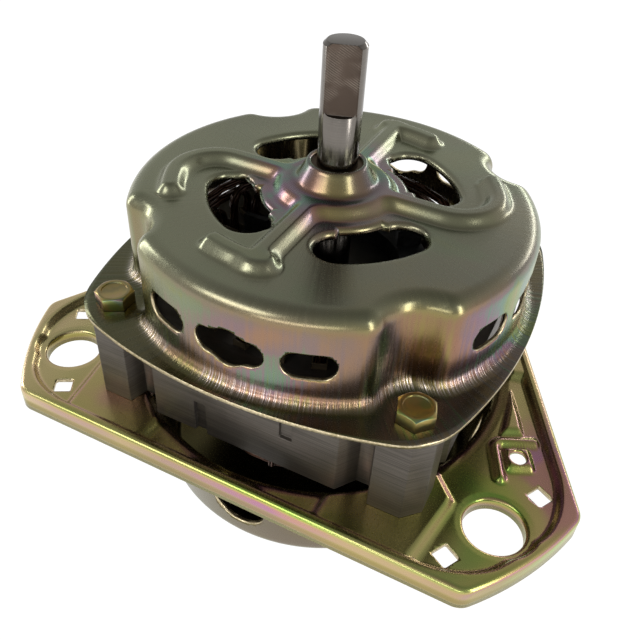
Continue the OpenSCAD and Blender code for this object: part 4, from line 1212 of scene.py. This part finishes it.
@dataclass
class BaseCover:
    """Plate with three ears, raised rim and pressings, and the bowl below it, in millimetres."""

    sheet: float = 1.5
    rim: float = 2.9
    drop: float = 5.0
    mouth: float = 61.0
    throat: float = 5.3
    bottom: float = -40.8
    bottom_r: float = 56.3
    ear_r: float = 85.8
    rim_zone: float = 8.8
    nut_room: float = 9.67
    bolt_r: float = 66.963
    ears: tuple[float, float, float] = (-30.0, 90.0, 210.0)
    ear_hole_r: float = 8.8
    ear_roll: float = 1.2
    ear_lip: float = 4.4
    boss: tuple[float, float] = (74.0, -17.2)
    boss_turn: float = -26.6
    screw_r: float = 2.5
    screw_roll: float = 0.6
    ear_flat: float = 10.3
    ear_slope: float = 2.4
    rib_corner: tuple[float, float] = (65.6, -13.6)
    rib_turn: float = 26.6
    rib_spread: float = 93.0
    rib_bend_r: float = 2.6
    rib_ends: tuple[float, float] = (12.5, 14.0)
    sump: float = 7.2
    hub: Spots = (
        (7.2, 4.6), (7.4, 6.0), (8.0, 6.3), (8.6, 6.2), (9.1, 5.6), (10.2, 3.6), (11.4, 1.4), (12.1, 0.4),
        (13.0, 0.0), (15.0, 0.0), (16.8, 0.0), (18.4, 0.5), (19.2, 1.6), (19.6, 3.4), (20.2, 5.6),
        (21.2, 6.8), (22.6, 7.2))
    vent_low: float = -31.0
    vent_half: float = 9.0
    rim_form: Pressing = Pressing(2.9, 5.4, 3.2)
    seat_form: Pressing = Pressing(2.3, 1.1, 3.4)
    boss_form: Pressing = Pressing(2.1, 1.3, 3.0)
    rib_form: Pressing = Pressing(1.8, 2.8, 2.9)
    panel_form: Pressing = Pressing(1.9, 1.4, 3.2)
    sides: tuple[float, float, float] = (-90.0, 26.6, 153.4)
    side_reach: tuple[float, float, float] = (68.4, 72.0, 72.0)
    end_r: float = 100.2
    front_seat: Spots = (
        (28, -68.4), (28, -56), (44, -44), (54, -33), (61.6, -41), (61.6, -44), (57.6, -68.4))
    panel: Spots = (
        (66.9, -9), (72.8, -6.2), (69.9, 0.4), (67.4, 5.2), (64.6, 10.4))
    steps: int = 600

    def outline(self) -> Array:
        """Outline of the plate, finely spaced."""
        reach, corner = 94.2, 6.0
        points: list[Array] = []
        dirs, dists = self.sides, self.side_reach
        swing = [math.degrees(math.acos((d - corner) / reach)) for d in dists]
        for i in range(3):
            points += arc(polar(reach, dirs[i] - swing[i]), corner, dirs[i] - swing[i], dirs[i], 16)
            points += arc(polar(reach, dirs[i] + swing[i]), corner, dirs[i], dirs[i] + swing[i], 16)
            following = dirs[(i + 1) % 3] + (360 if i == 2 else 0)
            points += arc((0, 0), self.end_r, dirs[i] + swing[i], following - swing[(i + 1) % 3], 24)[1:-1]
        return np.array(points)

    def flute(self, radius: Array, degrees: Array, room: float) -> Array:
        """Radius pressed inwards to leave room round each nut."""
        turn = np.radians(sector_turn(degrees, 90, 45))
        inside = np.maximum(room ** 2 - (self.bolt_r * np.sin(turn)) ** 2, 0)
        near = np.where(inside > 0, self.bolt_r * np.cos(turn) - np.sqrt(inside), 80.0)
        return soft_min(radius, near, 1.6)

    def bowed(self, degrees: Array) -> Array:
        """Crowds the samples towards the ears."""
        return degrees - 0.45 / 3 * np.degrees(np.sin(np.radians(3 * (degrees + 30))))

    def from_ears(self, points: Array) -> Array:
        """Distance from the middle of the nearest ear hole."""
        return np.min([np.hypot(*(points - polar(self.ear_r, a)).T) for a in self.ears], axis=0)

    def relief(self, points: Array, inward: Array) -> Array:
        """Height of the plate above the ears.

        Args:
            points: Places in plan.
            inward: Distance of each from the outline, inwards.

        Returns:
            The heights.
        """
        ends = self.end_r - np.hypot(*points.T)
        slants = np.min([d - points @ polar(1, a) for a, d in zip(self.sides, self.side_reach)], axis=0)
        inward = np.minimum(inward, soft_min(ends, slants, 11.0) + 0.2)
        rise = self.rim_form.lift(inward)
        flip = np.column_stack([np.abs(points[:, 0]), points[:, 1]])
        front = ring_distance(flip, np.array(self.front_seat))
        radius, degrees = around(flip)
        back = np.maximum(64.0 - radius, (np.abs(degrees - 40) - 25) * math.pi / 180 * radius)
        island = np.hypot(flip[:, 0] - BOLT_REACH, np.abs(flip[:, 1]) - BOLT_REACH) - self.nut_room
        seat = soft_min(soft_min(front, back, 1.5), island, 2.5)
        rise = -soft_min(-rise, -self.seat_form.lift(seat), 0.5)
        boss = box_distance(turned(points - np.array(self.boss), self.boss_turn), (4.3, 4.3), 1.2)
        rise = np.maximum(rise, self.boss_form.lift(boss))
        corner, turn, bend_r = np.array(self.rib_corner), self.rib_turn, self.rib_bend_r
        bend = corner + polar(bend_r, turn) + polar(bend_r, turn - self.rib_spread)
        rib = np.vstack([corner + polar(self.rib_ends[0], turn), arc(bend, bend_r, turn + 90, turn + 180, 6),
                         corner + polar(self.rib_ends[1], turn - self.rib_spread)])
        rise = np.maximum(rise, self.rib_form.lift(line_distance(points, rib)))
        panel = ring_distance(points, np.array(self.panel))
        rise = np.maximum(rise, self.panel_form.lift(panel))
        ear = self.from_ears(points)
        return np.minimum(rise, self.rim * smooth_step((ear - self.ear_flat) / self.ear_slope))

    def ear_hole(self, places: Array) -> Array:
        """Distance outside the ear holes, less their rolled edge."""
        return self.from_ears(places[:, :2]) - self.ear_hole_r - self.ear_roll

    def square_hole(self, places: Array) -> Array:
        """Distance outside the square holes beside the ear holes."""
        found = []
        for a in self.ears:
            local = turned(places[:, :2], -a)
            for side in (-1, 1):
                found.append(box_distance(local - np.array([85.6, side * 18.1]), (2.8, 2.8), 0.3))
        return np.min(found, axis=0)

    def screw_hole(self, places: Array) -> Array:
        """Distance outside the hole in the boss, less its rolled edge."""
        return np.hypot(*(places[:, :2] - np.array(self.boss)).T) - self.screw_r - self.screw_roll

    def vent(self, places: Array) -> Array:
        """Distance outside the vents in the bowl wall."""
        radius, degrees = around(places[:, :2])
        side = np.radians(sector_turn(degrees, 90, 0)) * radius
        high, half = places[:, 2] - self.vent_low, self.vent_half
        low_end = np.hypot(side, high - half) - half
        straight = np.maximum(np.abs(side) - half, np.abs(high - 14.5) - 5.5)
        return np.where(radius > 40, np.minimum(low_end, straight), OFF_WALL)

    def build(self, shop: Workshop, finishes: Finishes) -> None:
        """Makes plate and bowl.

        Args:
            shop: Workshop that delivers them.
            finishes: The motor's materials.
        """
        outline = self.outline()
        closed = np.vstack([outline, outline[:1]])
        angles = np.unwrap(np.arctan2(closed[:, 1], closed[:, 0]))
        closed_degrees = np.degrees(angles)
        run = np.roll(outline, -1, axis=0) - np.roll(outline, 1, axis=0)
        run /= np.maximum(np.hypot(*run.T)[:, None], 1e-9)
        facing = np.column_stack([run[:, 1], -run[:, 0]])
        facing = np.vstack([facing, facing[:1]])

        def edge_at(degrees: Array) -> tuple[Array, Array]:
            """Outline point and outward normal at each angle."""
            spot = (degrees - closed_degrees[0]) % 360 + closed_degrees[0]
            point = np.column_stack([np.interp(spot, closed_degrees, closed[:, i]) for i in (0, 1)])
            normal = np.column_stack([np.interp(spot, closed_degrees, facing[:, i]) for i in (0, 1)])
            return point, normal / np.hypot(*normal.T)[:, None]

        near_rim = np.linspace(0.0, self.rim_zone, 17)
        inner_rings = 40
        roll = 1.6
        top = len(near_rim) + inner_rings
        throat_steps = 6
        plate_row, edge_row, edge_rows, roll_rows = 20, 100, 9, 6
        profile = [(1.0 + k, 1.0) for k in range(throat_steps)]
        profile += [(float(plate_row + k), 1.0) for k in range(top)]
        profile += [(float(edge_row + k), 1.0) for k in range(edge_rows)]

        def press(places: Array) -> Array:
            """Presses the plate, from throat to turned-down edge.

            Args:
                places: The spun places, whose radius tells the row.

            Returns:
                The pressed places.
            """
            rows = np.rint(np.hypot(places[:, 0], places[:, 1])).astype(int)
            degrees = self.bowed(around(places[:, :2])[1])
            ray = rays(degrees)
            wall_r = self.flute(np.full(len(rows), self.mouth - self.sheet), degrees, self.nut_room)
            edge, normal = edge_at(degrees)
            first = ray * (wall_r + self.throat)[:, None]
            last = edge - normal * roll
            gap = last - first
            span = np.hypot(*gap.T)
            squeeze = np.minimum(1.0, span * 0.55 / self.rim_zone)
            plan = np.zeros((len(rows), 2))
            height = np.zeros(len(rows))
            swing = np.clip(rows - 1, 0, throat_steps) / throat_steps * math.pi / 2
            low = rows < plate_row
            plan[low] = (ray * (wall_r + self.throat * (1 - np.cos(swing)))[:, None])[low]
            height[low] = (-self.throat * (1 - np.sin(swing)))[low]
            mid = (rows >= plate_row) & (rows < edge_row)
            k = np.clip(rows - plate_row, 0, top - 1)
            rim_row = k >= inner_rings
            spot = np.clip(k - inner_rings, 0, len(near_rim) - 1)
            back = np.where(rim_row, near_rim[::-1][spot], 0.0)
            share_rim = 1 - back * squeeze / np.maximum(span, 1e-6)
            share_in = k / inner_rings * (1 - self.rim_zone * squeeze / np.maximum(span, 1e-6))
            share = np.where(rim_row, share_rim, share_in)[:, None]
            plan[mid] = (first + gap * share)[mid]
            out = rows >= edge_row
            j = np.clip(rows - edge_row, 0, edge_rows - 1)
            angle = np.clip(j + 1, 0, roll_rows) / roll_rows * math.pi / 2
            plan[out] = (edge - normal * (roll * (1 - np.sin(angle)))[:, None])[out]
            rolled = self.rim - roll * (1 - np.cos(angle))
            straight = self.rim - roll - (self.rim - roll + self.drop) * (j - 5) / 3
            height[out] = np.where(j < roll_rows, rolled, straight)[out]
            flat = np.nonzero(~out)[0]
            inward = -ring_distance(plan[flat], outline)
            height[flat] += self.relief(plan[flat], inward)
            return np.column_stack([plan, height])

        def at_throat(place: Vector) -> bool:
            """Tells the ring where plate and bowl meet."""
            return abs(place.z + self.throat) < 0.02 and place.xy.length < 64

        plate = Skin.spun(profile, self.steps)
        plate.press(press)
        edges = plate.pierce(self.ear_hole, 0.14)
        plate.roll_edge(edges, self.ear_hole, self.ear_roll, self.ear_lip, upright=True)
        edges = plate.pierce(self.screw_hole, 0.1)
        plate.roll_edge(edges, self.screw_hole, self.screw_roll, 1.4, 3, True)
        plate.pierce(self.square_hole, 0.1)
        plate.pierce(bolt_hole, 0.1)
        skins = [finishes.base, finishes.edge]
        shop.pressed(plate, "base_plate", self.sheet, skins, "base_cover", at_throat)

        bowl = [(r, self.bottom + self.sump - down) for r, down in self.hub]
        bowl += [(r, self.bottom) for r in np.linspace(25, 51.3, 9)]
        lean = math.atan2(self.mouth - self.bottom_r, 30.5)
        bowl += [(51.3 + 5 * math.sin(a), self.bottom + 5 - 5 * math.cos(a))
                 for a in np.linspace(0, math.pi / 2 - lean, 9)[1:]]
        low = bowl[-1]
        bowl += [(low[0] + (self.mouth - low[0]) * t, low[1] + (-self.throat - low[1]) * t)
                 for t in np.linspace(0, 1, 22)[1:]]

        def press_bowl(places: Array) -> Array:
            """Presses the recesses beside the nuts."""
            radius, degrees = around(places[:, :2])
            moved = np.where(radius > 45, self.flute(radius, degrees, self.nut_room - self.sheet), radius)
            ray = rays(degrees)
            return np.column_stack([ray * moved[:, None], places[:, 2]])

        dish = Skin.spun(bowl, 360)
        dish.press(press_bowl)
        bmesh.ops.reverse_faces(dish.mesh, faces=dish.mesh.faces)
        dish.mesh.normal_update()
        dish.pierce(self.vent, 0.12)
        shop.pressed(dish, "base_bowl", self.sheet, skins, "base_cover", at_throat)


# Windings


@dataclass
class Winding:
    """One winding: a bundle of wires that spirals through the slots of four poles, in millimetres."""

    name: str
    slot: str
    middle: float
    radius: float
    shift: float
    stack_low: float = 2.3
    stack_top: float = 33.0
    overhang: float = 16.0
    bundle: float = 3.0
    pitch: float = 3.8
    turn_r: float = 4.5
    loops: int = 3
    slot_turn: float = 15.0
    spacing: float = 3.2
    lay: float = 104.0
    wires: int = 7

    def half(self, k: int) -> float:
        """Angle of a loop's slots from the middle of the pole."""
        return (k - 0.5) * self.slot_turn

    def rise(self, k: int) -> float:
        """Reach of a loop's end turn beyond the stack."""
        return self.overhang - self.bundle / 2 - (self.loops - k) * self.pitch

    def bend(self, mid: float, level: float, r: float, start: float, end: float) -> Line:
        """Spots round one bend."""
        spots = []
        for i in range(4):
            a = math.radians(start + (end - start) * i / 3)
            aside = math.degrees(self.turn_r * math.cos(a) / r)
            spots.append([mid + aside, level + self.turn_r * math.sin(a), r])
        return spots

    def along(self, start: float, end: float, level: float, r: float) -> Line:
        """Spots along one end turn."""
        count = int(abs(end - start) // 14)
        return [[start + (end - start) * i / (count + 1), level, r] for i in range(1, count + 1)]

    def spiral(self, mid: float) -> Line:
        """Spots of one pole, from its inner end outwards.

        Args:
            mid: Angle of the middle of the pole, in degrees.

        Returns:
            Angle, height and radius of each spot.
        """
        r, spots = self.radius, []
        turn = math.degrees(self.turn_r / r)
        for k in range(1, self.loops + 1):
            side, following = self.half(k) - turn, self.half(k + 1) - turn
            low, low_next = self.stack_low - self.rise(k), self.stack_low - self.rise(k + 1)
            top = self.stack_top + self.rise(k)
            if k > 1:
                spots += self.bend(mid + side, low + self.turn_r, r, -90, 0)
            spots += self.bend(mid + side, top - self.turn_r, r, 0, 90)
            spots += self.along(mid + side, mid - side, top, r)
            spots += self.bend(mid - side, top - self.turn_r, r, 90, 180)
            spots += self.bend(mid - side, low_next + self.turn_r, r, 180, 270)
            if k < self.loops:
                spots += self.along(mid - side, mid + following, low_next, r)
        return spots

    def lead(self, mid: float) -> Line:
        """Spots of the inner end, which steps to a free radius below the stack."""
        a, low = mid + self.half(1), self.stack_low - self.rise(2)
        free = self.radius + self.shift
        return [[a, low, free], [a, low + self.bundle + 1, free],
                [a, self.stack_low - self.bundle / 2 - 1, self.radius], [a, self.stack_low + 1, self.radius]]

    def pair(self, mid: float) -> Line:
        """Spots of two neighbouring poles."""
        turn, level = math.degrees(self.turn_r / self.radius), self.stack_low - self.rise(self.loops + 1)
        leave, entry = mid - self.half(self.loops), mid + 90 - self.half(self.loops)
        between = self.along(leave + turn, entry - turn, level, self.radius)
        between += self.bend(entry - turn, level + self.turn_r, self.radius, -90, 0)
        return self.spiral(mid) + between + self.spiral(mid + 90)[::-1][4:]

    def link(self, start_mid: float, end_mid: float) -> Line:
        """Spots of the crossing between two pairs.

        Args:
            start_mid: Angle of the pole that it leaves, in degrees.
            end_mid: Angle of the pole that it reaches.

        Returns:
            Angle, height and radius of each spot.
        """
        free = self.radius + self.shift
        turn = math.degrees(self.turn_r / free)
        start, end, level = start_mid + self.half(1), end_mid + self.half(1), self.stack_low - self.rise(2)
        step = self.stack_low - self.bundle / 2 - 1
        return ([[start, self.stack_low + 1, self.radius], [start, step, self.radius]]
                + self.bend(start + turn, level + self.turn_r, free, 180, 270)
                + self.along(start + turn, end - turn, level, free)
                + self.bend(end - turn, level + self.turn_r, free, -90, 0)
                + [[end, step, self.radius], [end, self.stack_low + 1, self.radius]])

    def route(self) -> Array:
        """Middle line of the whole winding."""
        mid = self.middle
        spots = (self.lead(mid) + self.pair(mid) + self.link(mid + 90, mid + 180) + self.pair(mid + 180)
                 + self.lead(mid + 270)[::-1])
        return np.array([[*polar(r, a), z] for a, z, r in spots])

    def build(self, shop: Workshop, finish: Material) -> None:
        """Makes the winding as seven twisted wires along its route.

        Args:
            shop: Workshop that keeps the piece.
            finish: Its enamel.
        """
        route = self.route()
        way = np.concatenate([[0], np.cumsum(np.linalg.norm(np.diff(route, axis=0), axis=1))])
        spots = np.unique(np.concatenate([way, np.arange(0, way[-1], self.spacing)]))
        line = np.column_stack([np.interp(spots, way, route[:, i]) for i in range(3)])
        heading = np.gradient(line, axis=0)
        heading /= np.linalg.norm(heading, axis=1)[:, None]
        radial = line * np.array([1, 1, 0])
        radial /= np.linalg.norm(radial, axis=1)[:, None]
        side = np.cross(heading, radial)
        side /= np.linalg.norm(side, axis=1)[:, None]
        up = np.cross(side, heading)
        curve = bpy.data.curves.new(self.name, "CURVE")
        curve.dimensions = "3D"
        wire = self.bundle / 6
        curve.bevel_depth = wire * 0.98 * MM
        curve.bevel_resolution = 1
        curve.use_fill_caps = True
        outer = self.wires - 1
        for k in range(self.wires):
            twist = spots / self.lay * math.tau + k * math.tau / outer
            reach = 0.0 if k == outer else self.bundle / 2 - wire
            path = line + reach * (np.cos(twist)[:, None] * up + np.sin(twist)[:, None] * side)
            spline = curve.splines.new("POLY")
            spline.points.add(len(path) - 1)
            spline.points.foreach_set("co", np.column_stack([path * MM, np.ones(len(path))]).ravel())
            spline.use_smooth = True
        carrier = stood(self.name, curve)
        bpy.context.view_layer.update()
        data = bpy.data.meshes.new_from_object(carrier)
        bpy.data.objects.remove(carrier)
        mesh = bmesh.new()
        mesh.from_mesh(data)
        bmesh.ops.scale(mesh, vec=(1 / MM,) * 3, verts=mesh.verts)
        bmesh.ops.recalc_face_normals(mesh, faces=mesh.faces)
        shop.deliver(mesh, self.name + "_wires", Body.FRAME, [finish], [self.name], 60)


# Machined and stacked pieces that keep their node's shape


@dataclass
class MachinedParts:
    """Pieces whose own shape is right, with softened edges or a finish alone."""

    softened: tuple[tuple[str, Body, str, str, float], ...] = (
        ("through_bolts", Body.FRAME, "bolt", "zinc_bolt", 0.16),
        ("hex_nuts", Body.FRAME, "bolt", "zinc_bolt", 0.14),
        ("stator_core", Body.FRAME, "stack", "lamination", 0.22),
        ("shaft", Body.ROTOR, "shaft", "ground_steel", 0.1),
        ("rotor_core", Body.ROTOR, "rotor_stack_in_shade", "lamination", 0.15),
        ("rotor_cage", Body.ROTOR, "cast", "cast_aluminium", 0.0),
        ("upper_bush_retainer", Body.FRAME, "spring", "spring_steel", 0.0),
        ("lower_bush_retainer", Body.FRAME, "spring", "spring_steel", 0.0),
        ("lock_washers", Body.FRAME, "spring", "spring_steel", 0.08),
    )
    dressed: tuple[tuple[str, str], ...] = (
        ("slot_liners", "film"), ("slot_wedges", "fibre"), ("upper_bush", "bronze"), ("lower_bush", "bronze"),
        ("upper_oil_felt", "felt"), ("lower_oil_felt", "felt"), ("upper_thrust_washer", "nylon"),
        ("lower_thrust_washer", "nylon"), ("upper_oil_slinger", "dark_nylon"), ("lower_oil_slinger", "dark_nylon"),
        ("upper_retaining_ring", "spring"), ("lower_retaining_ring", "spring"),
    )

    def build(self, shop: Workshop, finishes: Finishes) -> None:
        """Softens and dresses them.

        Args:
            shop: Workshop that delivers the softened ones.
            finishes: The motor's materials.
        """
        for node, body, finish, slot, edge in self.softened:
            shop.softened(node, node + "_finished", body, getattr(finishes, finish), slot, edge)
        for node, finish in self.dressed:
            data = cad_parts[node].data
            data.materials.clear()
            data.materials.append(getattr(finishes, finish))
            LOG.info("%s dressed in %s", node, finish)


# Studio


def join(tree: bpy.types.NodeTree, *pairs: tuple[Socket, Socket]) -> None:
    """Links each pair of an output and an input."""
    for source, target in pairs:
        tree.links.new(source, target)


@dataclass
class Studio:
    """Floor, soft lights, surroundings and camera."""

    floor_z: float = -40.8
    lens_px: float = 719.5555
    azimuth: float = 23.96418
    elevation: float = 39.72406
    roll: float = -3.90307
    offset: tuple[float, float, float] = (1.20415, -9.53463, -253.29906)
    picture: int = 640
    floor_glow: float = 1.17
    glow_share: float = 0.82
    room: Spots = ((0.0, 0.62), (0.45, 0.54), (1.0, 0.24))
    boxes: tuple[tuple[str, tuple[float, ...], tuple[float, float], float], ...] = (
        ("high soft box", (-0.3, -0.66, 0.5), (0.5, 0.22), 1.7),
        ("left strip", (-0.7, -0.05, 0.16), (0.1, 0.5), 1.2),
        ("right strip", (0.65, -0.25, 0.22), (0.12, 0.5), 1.5),
        ("back strip", (0.25, 0.75, 0.25), (0.7, 0.08), 1.2),
        ("front fill", (0.15, -0.8, 0.2), (0.6, 0.1), 0.8),
    )

    def floor(self) -> None:
        """Lays a plain pale floor that takes the object's shadow."""
        mesh = bmesh.new()
        bmesh.ops.create_grid(mesh, x_segments=1, y_segments=1, size=3.0)
        bmesh.ops.translate(mesh, vec=(0, 0, self.floor_z * MM), verts=mesh.verts)
        data = bpy.data.meshes.new("floor")
        mesh.to_mesh(data)
        mesh.free()
        floor = stood("floor", data)
        material = bpy.data.materials.new("pale floor")
        material.use_nodes = True
        tree = material.node_tree
        tree.nodes.clear()
        out, matt, glow, blend, path, share = (tree.nodes.new("ShaderNode" + kind) for kind in (
            "OutputMaterial", "BsdfDiffuse", "Emission", "MixShader", "LightPath", "Math"))
        matt.inputs["Color"].default_value = (0.86, 0.86, 0.86, 1)
        glow.inputs["Color"].default_value = (1, 1, 1, 1)
        glow.inputs["Strength"].default_value = self.floor_glow
        share.operation = "MULTIPLY"
        share.inputs[1].default_value = self.glow_share
        seen = path.outputs["Is Camera Ray"]
        for ray in ("Is Glossy Ray", "Is Transmission Ray"):
            either = tree.nodes.new("ShaderNodeMath")
            either.operation = "MAXIMUM"
            join(tree, (seen, either.inputs[0]), (path.outputs[ray], either.inputs[1]))
            seen = either.outputs[0]
        join(tree, (seen, share.inputs[0]), (share.outputs[0], blend.inputs[0]),
             (matt.outputs[0], blend.inputs[1]), (glow.outputs[0], blend.inputs[2]),
             (blend.outputs[0], out.inputs["Surface"]))
        data.materials.append(material)

    def surroundings(self) -> None:
        """Sets the world: a pale room, darker overhead."""
        world = bpy.data.worlds.new("studio")
        bpy.context.scene.world = world
        world.use_nodes = True
        tree = world.node_tree
        tree.nodes.clear()
        out, coords, parts, ramp, soft = (tree.nodes.new("ShaderNode" + kind) for kind in (
            "OutputWorld", "TexCoord", "SeparateXYZ", "ValToRGB", "Background"))
        elements = ramp.color_ramp.elements
        elements.new(0.5)
        for element, (place, tone) in zip(elements, self.room):
            element.position, element.color = place, (tone, tone, tone, 1)
        join(tree, (coords.outputs["Generated"], parts.inputs[0]), (parts.outputs[2], ramp.inputs[0]),
             (ramp.outputs["Color"], soft.inputs["Color"]), (soft.outputs[0], out.inputs["Surface"]))

    def lamp(self, name: str, place: Sequence[float], size: Sequence[float], power: float) -> None:
        """Hangs one soft box that faces the motor.

        Args:
            name: Name of the lamp.
            place: Its place, in metres.
            size: Width and height, in metres.
            power: Power in watts.
        """
        light = bpy.data.lights.new(name, "AREA")
        light.shape = "RECTANGLE"
        light.size, light.size_y = size
        light.energy = power
        lamp = stood(name, light)
        lamp.location = place
        lamp.rotation_mode = "QUATERNION"
        lamp.rotation_quaternion = (Vector((0, 0, 0.03)) - Vector(place)).to_track_quat("-Z", "Y")

    def camera(self) -> None:
        """Stands the camera where the photograph was taken."""
        a, e, r = (math.radians(v) for v in (self.azimuth, self.elevation, self.roll))
        back = Vector((math.sin(a) * math.cos(e), -math.cos(a) * math.cos(e), math.sin(e)))
        right = Vector((math.cos(a), math.sin(a), 0))
        up = back.cross(right)
        turn = Matrix(((math.cos(r), -math.sin(r), 0), (math.sin(r), math.cos(r), 0), (0, 0, 1)))
        view = turn @ Matrix((right, up, back))
        place = -(view.transposed() @ Vector(self.offset)) * MM
        data = bpy.data.cameras.new("camera")
        data.sensor_width = 36.0
        data.lens = self.lens_px * 36.0 / self.picture
        data.clip_start, data.clip_end = 0.01, 20.0
        camera = stood("camera", data)
        camera.matrix_world = Matrix.Translation(place) @ view.transposed().to_4x4()
        bpy.context.scene.camera = camera

    def build(self) -> None:
        """Sets everything up."""
        self.camera()
        self.floor()
        self.surroundings()
        for box in self.boxes:
            self.lamp(*box)
        bpy.context.scene.view_settings.view_transform = "Standard"


def main() -> None:
    """Builds the motor's looks."""
    logging.basicConfig(level=logging.INFO, format="%(message)s")
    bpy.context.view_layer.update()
    Studio().build()
    finishes = Finishes()
    shop = Workshop()
    DriveEndCover().build(shop, finishes)
    BaseCover().build(shop, finishes)
    Winding("main_winding", "copper_main", 0.0, 43.85, 4.2).build(shop, finishes.shaded_main_wire)
    Winding("auxiliary_winding", "copper_auxiliary", 45.0, 39.05, -4.2).build(shop, finishes.shaded_start_wire)
    MachinedParts().build(shop, finishes)
    LOG.info("%d pieces made", len(shop.made))


if __name__ == "__main__":
    main()
